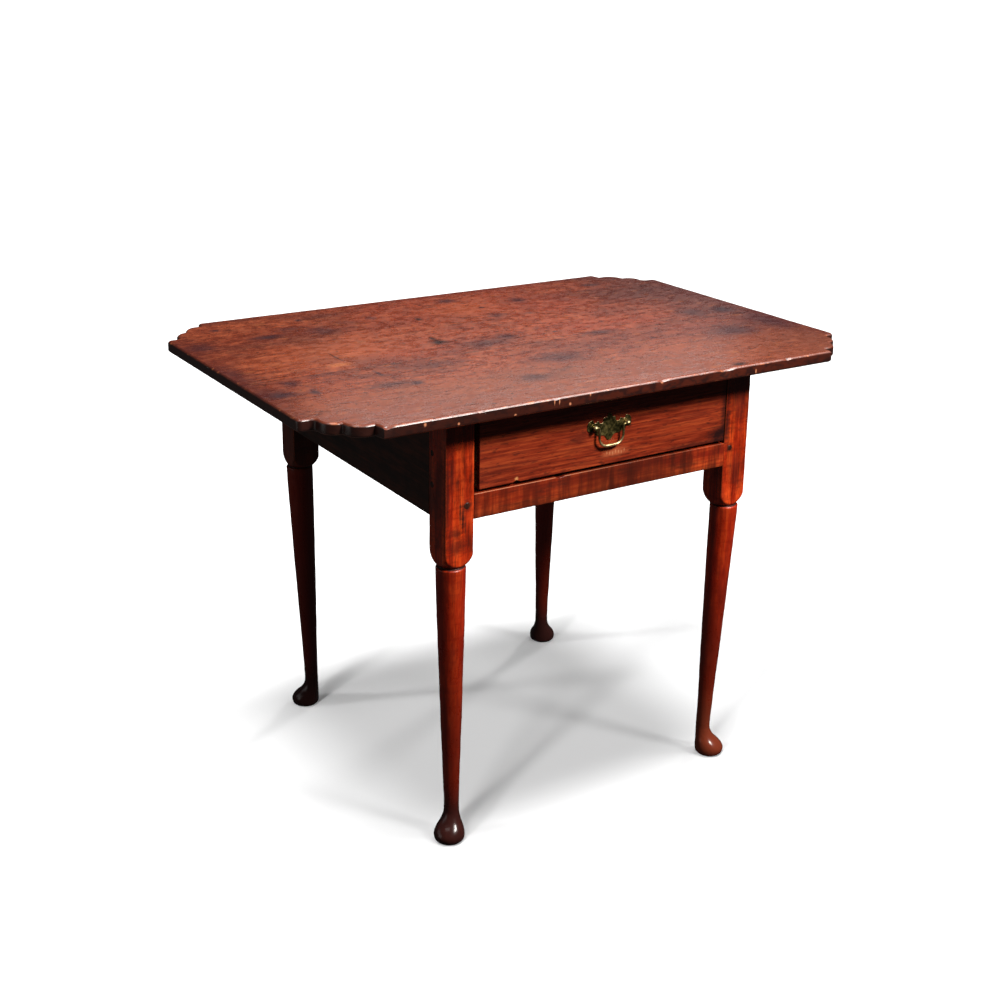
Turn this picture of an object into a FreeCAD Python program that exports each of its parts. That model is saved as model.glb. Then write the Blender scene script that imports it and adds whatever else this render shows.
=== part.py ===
"""A tavern table: a maple frame of four offset-turned legs, aprons and a drawer rail, pegged
together, under a two-board pine top with scalloped corners, with one drawer and a brass pull.

The table stands on Z = 0 with its origin under the middle of the frame, X along the top's long
side and the drawer in front, on -Y.  Millimetres and degrees.
"""
import FreeCAD, Part

import math
import os

import Sketcher
from FreeCAD import Placement, Rotation, Vector

doc = FreeCAD.newDocument("TavernTable")
dims = doc.addObject("Spreadsheet::Sheet", "dims")

# name, size, what it measures
DIMENSIONS = [
    ("top_height", 686, "floor to the top's upper face"),
    ("top_length", 950, "top along X"),
    ("top_width", 636, "top along Y"),
    ("top_thick", 18, "top boards"),
    ("seam_offset", 52, "glued joint of the two boards, in front of the middle"),
    ("step_slant", 3.5, "scalloped corner: the step leans in by this much"),
    ("step_depth", 19, "depth of the step at the long edge"),
    ("ledge", 8.5, "flat between the step and the first lobe"),
    ("lobe_big", 25, "radius of the lobe nearer the long edge"),
    ("cusp", 1.5, "fillet between the two lobes"),
    ("lobe_small", 22, "radius of the lobe nearer the short edge"),
    ("cove_neck", 5, "straight between the second lobe and the cove"),
    ("cove", 8, "radius of the cove"),
    ("cove_flat", 8, "flat between the cove and the horn"),
    ("horn", 7.5, "radius of the rounded horn at the short edge"),
    ("top_arris", 1.2, "chamfer on the top's edges"),
    ("frame_length", 543, "frame over the posts along X"),
    ("frame_width", 540, "frame over the posts along Y"),
    ("post", 46, "square of the leg's upper block"),
    ("apron_height", 156, "side and back aprons, down from the top"),
    ("apron_thick", 22, "side and back aprons"),
    ("rail_height", 37, "drawer rail"),
    ("rail_depth", 30, "drawer rail, front to back"),
    ("tenon_thick", 8, "tenons of aprons and rail"),
    ("tenon_inset", 8, "outer face of the wood to the tenon"),
    ("tenon_shoulder", 3, "shoulder above and below a tenon"),
    ("tenon_gap", 2, "space between two tenons that meet in one post"),
    ("peg_radius", 4.8, "joint pegs"),
    ("peg_length", 38, "joint pegs"),
    ("rail_peg_inset", 11.5, "post's inner edge to the rail's pegs"),
    ("rail_peg_left", 22, "rail's lower edge to its left peg"),
    ("rail_peg_right", 28, "rail's lower edge to its right peg"),
    ("apron_peg_inset", 9, "post's inner edge to the aprons' pegs"),
    ("apron_peg_low", 48, "aprons' lower edge to their lower pegs"),
    ("apron_peg_high", 94, "aprons' lower edge to their upper pegs"),
    ("neck_drop", 69, "aprons' lower edge down to the turned neck"),
    ("neck_radius", 21, "turned neck"),
    ("neck_length", 4.5, "turned neck, down to the shaft"),
    ("shoulder_rise", 24, "height of the block's rounded shoulder"),
    ("shoulder_radius", 33, "radius of the shoulder's profile"),
    ("shaft_top_radius", 21.9, "shaft at its top"),
    ("shaft_top_offset", 2.0, "shaft's axis out from the block's axis, per side"),
    ("shaft_mid_height", 262, "middle of the shaft"),
    ("shaft_mid_radius", 17.4, "shaft at its middle"),
    ("shaft_low_height", 110, "where the taper eases"),
    ("shaft_low_radius", 12.6, "shaft where the taper eases"),
    ("ankle_height", 50, "ankle"),
    ("ankle_radius", 11.3, "ankle"),
    ("ankle_offset", 6.8, "shaft's axis in from the block's axis at the ankle, per side"),
    ("foot_offset", 1.5, "foot's axis out from the block's axis, per side"),
    ("foot_radius", 23, "widest part of the foot"),
    ("foot_height", 11, "height of the foot's widest part"),
    ("tread_height", 3.3, "where the foot rounds under to its sole"),
    ("tread_radius", 21.9, "foot where it rounds under"),
    ("sole_radius", 18.5, "flat of the foot on the floor"),
    ("drawer_left_gap", 8, "drawer front to the left post"),
    ("drawer_right_gap", 1.5, "drawer front to the right post"),
    ("drawer_floor_gap", 5, "drawer rail to the drawer front"),
    ("drawer_top_gap", 1.5, "drawer front to the underside of the top"),
    ("drawer_back_gap", 3, "drawer to the back apron"),
    ("slide_gap", 0.3, "drawer side to the runner under it"),
    ("guide_gap", 1, "drawer side to the guide beside it"),
    ("front_thick", 22, "drawer front"),
    ("side_thick", 12, "drawer sides and back"),
    ("side_drop", 8, "top of the drawer front to the top of the sides"),
    ("dovetail_lap", 7, "wood left in front of the half-blind dovetails"),
    ("tail_wide", 25, "dovetail at its end"),
    ("tail_narrow", 19, "dovetail at its root"),
    ("bottom_thick", 8, "drawer bottom"),
    ("bottom_lift", 9, "side's lower edge to the drawer bottom"),
    ("groove_depth", 5, "how far the bottom reaches into front and sides"),
    ("bevel_width", 26, "feathered edge of the drawer bottom"),
    ("bevel_depth", 3, "feathered edge of the drawer bottom"),
    ("runner_width", 38, "drawer runners"),
    ("runner_height", 20, "drawer runners"),
    ("guide_height", 22, "drawer guides on the runners"),
    ("block_length", 70, "glue blocks under the top"),
    ("block_leg", 18, "glue blocks' square sides"),
    ("nail_radius", 1.4, "wrought nails"),
    ("nail_head_radius", 3.6, "wrought nails"),
    ("nail_head_height", 1.2, "wrought nails"),
    ("runner_nail_length", 54, "nails through the runners"),
    ("guide_nail_length", 34, "nails through the guides"),
    ("bottom_nail_length", 26, "nails through the drawer bottom"),
    ("nail_stagger", 20, "guide nails set back from the runner nails"),
    ("pull_rise", 3.75, "middle of the drawer front up to the pull's posts"),
    ("pull_spacing", 58, "pull's posts"),
    ("plate_thick", 1.2, "back plate"),
    ("pull_standoff", 6.5, "drawer front to the bail's axis"),
    ("pull_head_radius", 4.3, "round head of the pull's posts"),
    ("pull_neck_radius", 2.9, "neck under the head"),
    ("pull_collar_radius", 5.2, "collar on the back plate"),
    ("pull_collar_height", 1.2, "collar on the back plate"),
    ("stem_radius", 2.5, "stem through the drawer front"),
    ("stem_end", 5.5, "stem's end behind the drawer front"),
    ("nut_width", 11, "square nuts"),
    ("nut_height", 3.5, "square nuts"),
    ("bail_radius", 2.1, "bail rod"),
    ("bail_pin_radius", 1.5, "bail's pins in the posts"),
    ("bail_pin_clearance", 0.06, "around the pins"),
    ("bail_side_gap", 0.4, "bail to the posts' heads"),
    ("bail_drop", 29, "bail's axis to the middle of its grip"),
    ("bail_pin_length", 6.5, "bail's pins"),
    ("bail_elbow", 2.8, "radius of the bail's upper bends"),
    ("bail_bend", 14, "radius of the bail's lower bends"),
]
for row, (name, size, note) in enumerate(DIMENSIONS, start=1):
    dims.set(f"A{row}", name)
    dims.set(f"B{row}", str(size))
    dims.set(f"C{row}", note)
    dims.setAlias(f"B{row}", name)
doc.recompute()

# Heights, widths and lengths that follow from the driving sizes.
UNDERSIDE = "(dims.top_height - dims.top_thick)"
HALF_LENGTH = "(dims.frame_length / 2)"
HALF_WIDTH = "(dims.frame_width / 2)"
FACE = f"(-{HALF_WIDTH})"
BETWEEN_X = f"({HALF_LENGTH} - dims.post)"
BETWEEN_Y = f"({HALF_WIDTH} - dims.post)"
APRON_BOTTOM = f"({UNDERSIDE} - dims.apron_height)"
RAIL_TOP = f"({APRON_BOTTOM} + dims.rail_height)"
NECK = f"({APRON_BOTTOM} - dims.neck_drop)"
SHAFT_TOP = f"({NECK} - dims.neck_length)"
TENON_LENGTH = "(dims.post - dims.tenon_inset - dims.tenon_thick - dims.tenon_gap)"
DRAWER_LEFT = f"(-{BETWEEN_X} + dims.drawer_left_gap)"
DRAWER_RIGHT = f"({BETWEEN_X} - dims.drawer_right_gap)"
DRAWER_MIDDLE = f"(({DRAWER_LEFT} + {DRAWER_RIGHT}) / 2)"
DRAWER_BACK = f"({HALF_WIDTH} - dims.apron_thick - dims.drawer_back_gap)"
FRONT_BOTTOM = f"({RAIL_TOP} + dims.drawer_floor_gap)"
FRONT_TOP = f"({UNDERSIDE} - dims.drawer_top_gap)"
PULL_HEIGHT = f"(({FRONT_BOTTOM} + {FRONT_TOP}) / 2 + dims.pull_rise)"
SIDE_BOTTOM = f"({RAIL_TOP} + dims.slide_gap)"
SIDE_TOP = f"({FRONT_TOP} - dims.side_drop)"
PANEL_BOTTOM = f"({SIDE_BOTTOM} + dims.bottom_lift)"
PANEL_TOP = f"({PANEL_BOTTOM} + dims.bottom_thick)"
INNER_X = f"({HALF_LENGTH} - dims.apron_thick)"
INNER_Y = f"({HALF_WIDTH} - dims.apron_thick)"

CLOSE = 1e-6  # nearer than this is the same place
BEYOND = 5  # how far a cutting shape runs past the wood
CLEAR_OF_CORNER = 0.2  # a turned cut starts this far outside the square's corner
QUARTER_TURN = 90  # degrees
FULL_TURN = 360  # degrees


def value(expression):
    """The number that an expression of the sheet's sizes gives."""
    found = dims.evalExpression(str(expression))
    return float(getattr(found, "Value", found))


def place(thing, x, y, z, rotation=Rotation()):
    """Put a piece at a place given by three expressions."""
    thing.Placement = Placement(Vector(value(x), value(y), value(z)), rotation)
    for axis, expression in zip("xyz", (x, y, z)):
        thing.setExpression(f".Placement.Base.{axis}", str(expression))


def block(name, low, high):
    """A squared length of wood between two corners, each of three expressions."""
    made = doc.addObject("Part::Box", name)
    for size, a, b in zip(("Length", "Width", "Height"), low, high):
        made.setExpression(size, f"({b}) - ({a})")
    place(made, *low)
    return made


def rod(name, radius, length, base, towards):
    """A round rod from a base point along a unit vector."""
    made = doc.addObject("Part::Cylinder", name)
    made.setExpression("Radius", radius)
    made.setExpression("Height", length)
    place(made, *base, rotation=Rotation(Vector(0, 0, 1), Vector(*towards)))
    return made


def grouped(name, pieces):
    """Separate solids that share a node."""
    made = doc.addObject("Part::Compound", name)
    made.Links = pieces
    return made


def joined(name, pieces):
    """Pieces that are one solid."""
    made = doc.addObject("Part::MultiFuse", name)
    made.Shapes = pieces
    made.Refine = True
    return made


def carved(name, blank, tools):
    """A blank with the room for other pieces cut out of it."""
    made = doc.addObject("Part::Cut", name)
    made.Base = blank
    made.Tool = tools[0] if len(tools) == 1 else grouped(f"{name}_tools", tools)
    made.Refine = True
    return made


def plane_of(body, role):
    """One of a body's own origin planes or axes."""
    for feature in body.Origin.OriginFeatures:
        if feature.Role == role:
            return feature
    raise ValueError(role)


def sketch_on(body, name, role, lift="0"):
    """An empty sketch on an origin plane of the body, lifted along that plane's normal."""
    made = body.newObject("Sketcher::SketchObject", name)
    made.AttachmentSupport = [(plane_of(body, role), "")]
    made.MapMode = "FlatFace"
    made.setExpression(".AttachmentOffset.Base.z", str(lift))
    return made


def fix_point(sketch, geometry, which, x, y):
    """Hold a point of the sketch at two expressions."""
    for kind, expression in (("DistanceX", x), ("DistanceY", y)):
        index = sketch.addConstraint(Sketcher.Constraint(kind, geometry, which, value(expression)))
        sketch.setExpression(f"Constraints[{index}]", str(expression))


def fix_radius(sketch, geometry, radius):
    index = sketch.addConstraint(Sketcher.Constraint("Radius", geometry, value(radius)))
    sketch.setExpression(f"Constraints[{index}]", str(radius))


def trace(sketch, start, steps, closed=True):
    """Draw an outline from a start point.  A step is (x, y) for a straight line, or
    (x, y, radius) for an arc that turns left, or right when turn is given as -1:
    (x, y, radius, -1).  Arcs are half a turn or less."""
    points = [start] + [step[:2] for step in steps]
    first = sketch.GeometryCount
    ends = []
    for (x0, y0), step in zip(points, steps):
        a = Vector(value(x0), value(y0), 0)
        b = Vector(value(step[0]), value(step[1]), 0)
        if len(step) == 2:
            index = sketch.addGeometry(Part.LineSegment(a, b))
            ends.append((index, 1, 2))
            continue
        radius = value(step[2])
        left = len(step) == 3
        chord = b - a
        rise = math.sqrt(max(radius**2 - (chord.Length / 2) ** 2, 0))
        across = Vector(-chord.y, chord.x, 0).normalize() * (rise if left else -rise)
        middle = (a + b) * 0.5 + across
        begin, end = (a, b) if left else (b, a)
        angles = [math.atan2(p.y - middle.y, p.x - middle.x) for p in (begin, end)]
        if angles[1] <= angles[0]:
            angles[1] += 2 * math.pi
        circle = Part.Circle(middle, Vector(0, 0, 1), radius)
        index = sketch.addGeometry(Part.ArcOfCircle(circle, *angles))
        fix_radius(sketch, index, step[2])
        ends.append((index, 1, 2) if left else (index, 2, 1))
    for here, after in zip(ends, ends[1:]):
        sketch.addConstraint(Sketcher.Constraint("Coincident", here[0], here[2], after[0], after[1]))
    if closed:
        sketch.addConstraint(Sketcher.Constraint("Coincident", ends[-1][0], ends[-1][2], first, ends[0][1]))
    for (index, begin, _), (x, y) in zip(ends, points):
        fix_point(sketch, index, begin, x, y)
    if not closed:
        fix_point(sketch, ends[-1][0], ends[-1][2], *points[-1])


def ring(sketch, x, y, radius):
    """A circle in a sketch."""
    index = sketch.addGeometry(Part.Circle(Vector(value(x), value(y), 0), Vector(0, 0, 1), value(radius)))
    fix_point(sketch, index, 3, x, y)
    fix_radius(sketch, index, radius)


def pad(body, sketch, length, name):
    made = body.newObject("PartDesign::Pad", name)
    made.Profile = sketch
    made.setExpression("Length", str(length))
    return made


def top_board(name, back):
    """One board of the top: a plank with a scalloped corner at each end of its outer edge."""
    body = doc.addObject("PartDesign::Body", name)
    side = 1 if back else -1
    edge = f"({side} * dims.top_width / 2)"
    end = "(dims.top_length / 2)"
    outline = sketch_on(body, f"{name}_outline", "XY_Plane")
    low, high = ("(-dims.seam_offset)", edge) if back else (edge, "(-dims.seam_offset)")
    trace(outline, (f"-{end}", low), [(end, low), (end, high), (f"-{end}", high), (f"-{end}", low)])
    pad(body, outline, "dims.top_thick", f"{name}_plank")
    doc.recompute()

    # The waste outside the scallops, from the long edge round to the short edge.
    x, y = end, edge
    horn_y = (
        "(dims.step_depth + dims.lobe_big + dims.cusp + dims.lobe_small"
        " + dims.cove_neck + dims.cove + dims.horn)"
    )
    run = (
        "(dims.step_slant + dims.ledge + dims.lobe_big + dims.cusp + dims.lobe_small"
        " + dims.cove + dims.cove_flat + dims.horn)"
    )
    steps = [
        ("dims.step_slant", "dims.step_depth", None),
        ("dims.ledge", "0", None),
        ("dims.lobe_big", "dims.lobe_big", "dims.lobe_big"),
        ("dims.cusp", "dims.cusp", None),
        ("dims.lobe_small", "dims.lobe_small", "dims.lobe_small"),
        ("0", "dims.cove_neck", None),
        ("dims.cove", "dims.cove", "dims.cove"),
        ("dims.cove_flat", "0", None),
        ("dims.horn", "dims.horn", "dims.horn"),
    ]
    across = f"({x} - {run})"
    inward = "0"
    start = (across, y)
    path = []
    for dx, dy, radius in steps:
        across = f"({across} + {dx})"
        inward = f"({inward} + {dy})"
        point = (across, f"({y} - {side} * {inward})")
        if radius is None:
            path.append(point)
            continue
        hollow = radius == "dims.cove"
        turns_left = (side < 0) != hollow
        path.append((*point, radius) if turns_left else (*point, radius, -1))
    outside_x = f"({x} + {BEYOND})"
    outside_y = f"({y} + {side * BEYOND})"
    path += [
        (outside_x, f"({y} - {side} * {horn_y})"),
        (outside_x, outside_y),
        (start[0], outside_y),
        start,
    ]
    waste = sketch_on(body, f"{name}_scallops", "XY_Plane")
    trace(waste, start, path)
    cut = body.newObject("PartDesign::Pocket", f"{name}_corner")
    cut.Profile = waste
    cut.Type = "ThroughAll"
    cut.Reversed = True
    both_ends = body.newObject("PartDesign::Mirrored", f"{name}_corners")
    both_ends.Originals = [cut]
    both_ends.MirrorPlane = (plane_of(body, "YZ_Plane"), [""])
    body.Tip = both_ends
    doc.recompute()

    eased = body.newObject("PartDesign::Chamfer", f"{name}_arris")
    shape = both_ends.Shape
    seam = -value("dims.seam_offset")
    faces = (0.0, value("dims.top_thick"))
    names = []
    for index, edge_shape in enumerate(shape.Edges, start=1):
        box = edge_shape.BoundBox
        flat = box.ZLength < CLOSE and min(abs(box.ZMin - z) for z in faces) < CLOSE
        at_seam = box.YLength < CLOSE and abs(box.YMin - seam) < CLOSE
        if flat and not at_seam:
            names.append(f"Edge{index}")
    eased.Base = (both_ends, names)
    eased.setExpression("Size", "dims.top_arris")
    place(body, "0", "0", UNDERSIDE)
    return body


# How the foot swells between the ankle and its widest part: share of the height left, share of
# the growth done.
FOOT_SWELL = [(0.72, 0.07), (0.46, 0.34), (0.23, 0.76), (0.0, 1.0)]


def leg_blank(name, quarters):
    """A leg before its mortises: the square block with its turned shoulder, the tapering shaft
    turned about an axis that leans in, and the pad foot that toes out.  It is drawn for the
    back right corner, where out is +X and +Y, and turned to its own corner."""
    body = doc.addObject("PartDesign::Body", f"{name}_blank")
    square = sketch_on(body, f"{name}_square", "XY_Plane", NECK)
    half = "(dims.post / 2)"
    trace(square, (f"-{half}", f"-{half}"),
          [(half, f"-{half}"), (half, half), (f"-{half}", half), (f"-{half}", f"-{half}")])
    pad(body, square, f"{UNDERSIDE} - {NECK}", f"{name}_block")
    doc.recompute()

    shoulder = sketch_on(body, f"{name}_shoulder", "XZ_Plane")
    corner = "(dims.post * sqrt(2) / 2)"
    outside = f"({corner} + {BEYOND})"
    below = f"({NECK} - {BEYOND})"
    top = f"({NECK} + dims.shoulder_rise)"
    trace(shoulder, ("dims.neck_radius", below), [
        (outside, below),
        (outside, top),
        (f"({corner} + {CLEAR_OF_CORNER})", top),
        ("dims.neck_radius", NECK, "dims.shoulder_radius", -1),
        ("dims.neck_radius", below),
    ])
    turned = body.newObject("PartDesign::Groove", f"{name}_turned")
    turned.Profile = shoulder
    turned.ReferenceAxis = (plane_of(body, "Z_Axis"), [""])
    turned.Angle = FULL_TURN
    doc.recompute()

    lean = f"((dims.shaft_top_offset + dims.ankle_offset) / ({SHAFT_TOP} - dims.ankle_height))"

    def shaft_axis(height):
        return f"(dims.shaft_top_offset - {lean} * ({SHAFT_TOP} - {height}))"

    def section(tag, height, offset, radius):
        made = sketch_on(body, f"{name}_{tag}", "XY_Plane", height)
        ring(made, offset, offset, radius)
        return made

    neck = section("neck", NECK, "0", "dims.neck_radius")
    under = section("under", SHAFT_TOP, "dims.shaft_top_offset", "dims.shaft_top_radius")
    collar = body.newObject("PartDesign::AdditiveLoft", f"{name}_collar")
    collar.Profile = neck
    collar.Sections = [under]
    collar.Ruled = True
    doc.recompute()

    rings = [section("shaft_top", SHAFT_TOP, "dims.shaft_top_offset", "dims.shaft_top_radius")]
    for tag in ("shaft_mid", "shaft_low", "ankle"):
        height = f"dims.{tag}_height"
        rings.append(section(tag, height, shaft_axis(height), f"dims.{tag}_radius"))
    shaft = body.newObject("PartDesign::AdditiveLoft", f"{name}_shaft")
    shaft.Profile = rings[0]
    shaft.Sections = rings[1:]
    doc.recompute()

    # The heel keeps the ankle's line, and each lower ring grows out towards the toe.
    foot_rings = [section("heel", "dims.ankle_height", shaft_axis("dims.ankle_height"), "dims.ankle_radius")]
    for number, (up, share) in enumerate(FOOT_SWELL):
        height = f"(dims.foot_height + {up} * (dims.ankle_height - dims.foot_height))"
        radius = f"(dims.ankle_radius + {share} * (dims.foot_radius - dims.ankle_radius))"
        offset = f"(-dims.ankle_offset + {share} * (dims.foot_offset + dims.ankle_offset))"
        foot_rings.append(section(f"foot{number}", height, offset, radius))
    foot_rings.append(section("tread", "dims.tread_height", "dims.foot_offset", "dims.tread_radius"))
    foot_rings.append(section("sole", "0", "dims.foot_offset", "dims.sole_radius"))
    foot = body.newObject("PartDesign::AdditiveLoft", f"{name}_foot")
    foot.Profile = foot_rings[0]
    foot.Sections = foot_rings[1:]
    doc.recompute()

    out_x = 1 if quarters in (0, 3) else -1
    out_y = 1 if quarters in (0, 1) else -1
    place(body, f"{out_x} * ({HALF_LENGTH} - dims.post / 2)", f"{out_y} * ({HALF_WIDTH} - dims.post / 2)",
          "0", rotation=Rotation(Vector(0, 0, 1), quarters * QUARTER_TURN))
    return body


def tenoned(name, low, high, blind_low, blind_high):
    """A rail or apron: the board between its shoulders and the tenon that runs through it."""
    board = block(f"{name}_board", low, high)
    tongue = block(f"{name}_tenon", blind_low, blind_high)
    return joined(f"{name}_blank", [board, tongue])


def side_apron(name, side):
    outer = f"({side} * {HALF_LENGTH})"
    inner = f"({side} * {INNER_X})"
    cheek = f"({side} * ({HALF_LENGTH} - dims.tenon_inset))"
    cheek_in = f"({side} * ({HALF_LENGTH} - dims.tenon_inset - dims.tenon_thick))"
    xs = (outer, inner) if side < 0 else (inner, outer)
    ts = (cheek, cheek_in) if side < 0 else (cheek_in, cheek)
    reach = f"({BETWEEN_Y} + {TENON_LENGTH})"
    low_z = f"({APRON_BOTTOM} + dims.tenon_shoulder)"
    high_z = f"({UNDERSIDE} - dims.tenon_shoulder)"
    return tenoned(name,
                   (xs[0], f"-{BETWEEN_Y}", APRON_BOTTOM), (xs[1], BETWEEN_Y, UNDERSIDE),
                   (ts[0], f"-{reach}", low_z), (ts[1], reach, high_z))


def cross_rail(name, side, thick, low_z, high_z):
    """A rail along X between two posts: the back apron or the drawer rail."""
    outer = f"({side} * {HALF_WIDTH})"
    inner = f"({side} * ({HALF_WIDTH} - {thick}))"
    cheek = f"({side} * ({HALF_WIDTH} - dims.tenon_inset))"
    cheek_in = f"({side} * ({HALF_WIDTH} - dims.tenon_inset - dims.tenon_thick))"
    ys = (outer, inner) if side < 0 else (inner, outer)
    ts = (cheek, cheek_in) if side < 0 else (cheek_in, cheek)
    reach = f"({BETWEEN_X} + {TENON_LENGTH})"
    return tenoned(name,
                   (f"-{BETWEEN_X}", ys[0], low_z), (BETWEEN_X, ys[1], high_z),
                   (f"-{reach}", ts[0], f"({low_z} + dims.tenon_shoulder)"),
                   (reach, ts[1], f"({high_z} - dims.tenon_shoulder)"))


def joint_pegs(name, places, towards):
    """Round pegs driven through the mortises, from the places given."""
    return [rod(f"{name}_{number}", "dims.peg_radius", "dims.peg_length", base, towards)
            for number, base in enumerate(places)]


def nail(name, base, towards, length):
    """A nail whose head lies in the wood's surface at base and whose shank runs along towards."""
    head = rod(f"{name}_head", "dims.nail_head_radius", "dims.nail_head_height", base, towards)
    shank = rod(f"{name}_shank", "dims.nail_radius", length, base, towards)
    return joined(name, [head, shank])


pieces = {}

# The top.
pieces["top_board_back"] = top_board("top_board_back", True)
pieces["top_board_front"] = top_board("top_board_front", False)

# Aprons and drawer rail, before the pegs' holes.
left_blank = side_apron("apron_left", -1)
right_blank = side_apron("apron_right", 1)
back_blank = cross_rail("apron_back", 1, "dims.apron_thick", APRON_BOTTOM, UNDERSIDE)
rail_blank = cross_rail("drawer_rail", -1, "dims.rail_depth", APRON_BOTTOM, RAIL_TOP)

rail_peg_x = f"({BETWEEN_X} + dims.rail_peg_inset)"
rail_pegs = joint_pegs("drawer_rail_peg", [
    (f"-{rail_peg_x}", FACE, f"({APRON_BOTTOM} + dims.rail_peg_left)"),
    (rail_peg_x, FACE, f"({APRON_BOTTOM} + dims.rail_peg_right)"),
], (0, 1, 0))
peg_heights = (f"({APRON_BOTTOM} + dims.apron_peg_low)", f"({APRON_BOTTOM} + dims.apron_peg_high)")
side_peg_y = f"({BETWEEN_Y} + dims.apron_peg_inset)"
back_peg_x = f"({BETWEEN_X} + dims.apron_peg_inset)"
left_pegs = joint_pegs("apron_left_peg", [
    (f"-{HALF_LENGTH}", y, z) for y in (f"-{side_peg_y}", side_peg_y) for z in peg_heights
], (1, 0, 0))
right_pegs = joint_pegs("apron_right_peg", [
    (HALF_LENGTH, y, z) for y in (f"-{side_peg_y}", side_peg_y) for z in peg_heights
], (-1, 0, 0))
# The back pegs stand clear above the side pegs that cross them in the same post.
back_peg_lift = "(3 * dims.peg_radius)"
back_pegs = joint_pegs("apron_back_peg", [
    (x, HALF_WIDTH, f"({z} + {back_peg_lift})")
    for x in (f"-{back_peg_x}", back_peg_x) for z in peg_heights
], (0, -1, 0))
pieces["drawer_rail_pegs"] = grouped("drawer_rail_pegs", rail_pegs)
pieces["apron_left_pegs"] = grouped("apron_left_pegs", left_pegs)
pieces["apron_right_pegs"] = grouped("apron_right_pegs", right_pegs)
pieces["apron_back_pegs"] = grouped("apron_back_pegs", back_pegs)

# Legs, mortised for the tenons and bored for the pegs.
CORNERS = {
    "leg_back_right": [right_blank, back_blank, *right_pegs, *back_pegs],
    "leg_back_left": [left_blank, back_blank, *left_pegs, *back_pegs],
    "leg_front_left": [left_blank, rail_blank, *left_pegs, *rail_pegs],
    "leg_front_right": [right_blank, rail_blank, *right_pegs, *rail_pegs],
}
leg_blanks = {leg: leg_blank(leg, quarters) for quarters, leg in enumerate(CORNERS)}
for leg, tools in CORNERS.items():
    pieces[leg] = carved(leg, leg_blanks[leg], tools)

# Runners nailed inside the side aprons, level with the drawer rail and notched round the posts,
# and guides nailed on top of them between the posts.
runner_y = (f"({FACE} + dims.rail_depth)", INNER_Y)
guide_y = (f"-{BETWEEN_Y}", BETWEEN_Y)
SIDE_NAIL_SHARES = (0.2, 0.5, 0.8)
side_nails = {}
for label, side in (("left", -1), ("right", 1)):
    outer = f"({side} * {INNER_X})"
    inner = f"({side} * ({INNER_X} - dims.runner_width))"
    beside = f"({DRAWER_LEFT} - dims.guide_gap)" if side < 0 else f"({DRAWER_RIGHT} + dims.guide_gap)"
    low_z = f"({RAIL_TOP} - dims.runner_height)"
    xs = (outer, inner) if side < 0 else (inner, outer)
    gs = (outer, beside) if side < 0 else (beside, outer)
    runner = block(f"drawer_runner_{label}_blank",
                   (xs[0], runner_y[0], low_z), (xs[1], runner_y[1], RAIL_TOP))
    guide_top = f"({RAIL_TOP} + dims.guide_height)"
    guide = block(f"drawer_guide_{label}_blank",
                  (gs[0], guide_y[0], RAIL_TOP), (gs[1], guide_y[1], guide_top))
    level = f"({RAIL_TOP} - dims.runner_height / 2)"
    middle = f"(({outer} + {beside}) / 2)"
    runner_nails, guide_nails = [], []
    for number, share in enumerate(SIDE_NAIL_SHARES):
        y = f"({guide_y[0]} + {share} * ({guide_y[1]} - {guide_y[0]}))"
        runner_nails.append(nail(f"runner_nail_{label}_{number}", (inner, y, level), (side, 0, 0),
                                 "dims.runner_nail_length"))
        y_guide = f"({y} + dims.nail_stagger)"
        guide_nails.append(nail(f"guide_nail_{label}_{number}", (middle, y_guide, guide_top), (0, 0, -1),
                                "dims.guide_nail_length"))
    side_nails[label] = runner_nails
    corner_posts = [leg_blanks[f"leg_front_{label}"], leg_blanks[f"leg_back_{label}"]]
    pieces[f"drawer_runner_{label}"] = carved(
        f"drawer_runner_{label}", runner, [*corner_posts, *runner_nails, *guide_nails])
    pieces[f"drawer_guide_{label}"] = carved(f"drawer_guide_{label}", guide, guide_nails)
    pieces[f"runner_nails_{label}"] = grouped(f"runner_nails_{label}", runner_nails)
    pieces[f"guide_nails_{label}"] = grouped(f"guide_nails_{label}", guide_nails)

pieces["apron_left"] = carved("apron_left", left_blank, [*left_pegs, *side_nails["left"]])
pieces["apron_right"] = carved("apron_right", right_blank, [*right_pegs, *side_nails["right"]])
pieces["apron_back"] = carved("apron_back", back_blank, back_pegs)
pieces["drawer_rail"] = carved("drawer_rail", rail_blank, rail_pegs)


def glue_block(name, x, y, quarters):
    """A three-cornered block rubbed into the angle between an apron and the top."""
    body = doc.addObject("PartDesign::Body", name)
    face = sketch_on(body, f"{name}_face", "XZ_Plane", "-dims.block_length / 2")
    trace(face, ("0", "0"), [("0", "-dims.block_leg"), ("dims.block_leg", "0"), ("0", "0")])
    pad(body, face, "dims.block_length", f"{name}_length")
    place(body, x, y, UNDERSIDE, rotation=Rotation(Vector(0, 0, 1), quarters * QUARTER_TURN))
    return body


# Three blocks along each side apron; the drawer leaves no room for them at the back.
block_y = f"({BETWEEN_Y} * 2 / 3)"
BLOCK_YS = (f"-{block_y}", "0", block_y)
for label, x, quarters in (("left", f"-{INNER_X}", 0), ("right", INNER_X, 2)):
    pieces[f"glue_blocks_{label}"] = grouped(f"glue_blocks_{label}", [
        glue_block(f"glue_block_{label}_{number}", x, y, quarters) for number, y in enumerate(BLOCK_YS)])

# The drawer: sides dovetailed into the front and the back, a feathered bottom let into grooves
# in front and sides, and nailed up into the back.
FRONT_Y = (FACE, f"({FACE} + dims.front_thick)")
LAP_Y = f"({FACE} + dims.dovetail_lap)"
BACK_Y = (f"({DRAWER_BACK} - dims.side_thick)", DRAWER_BACK)
TAILS = 3


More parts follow.
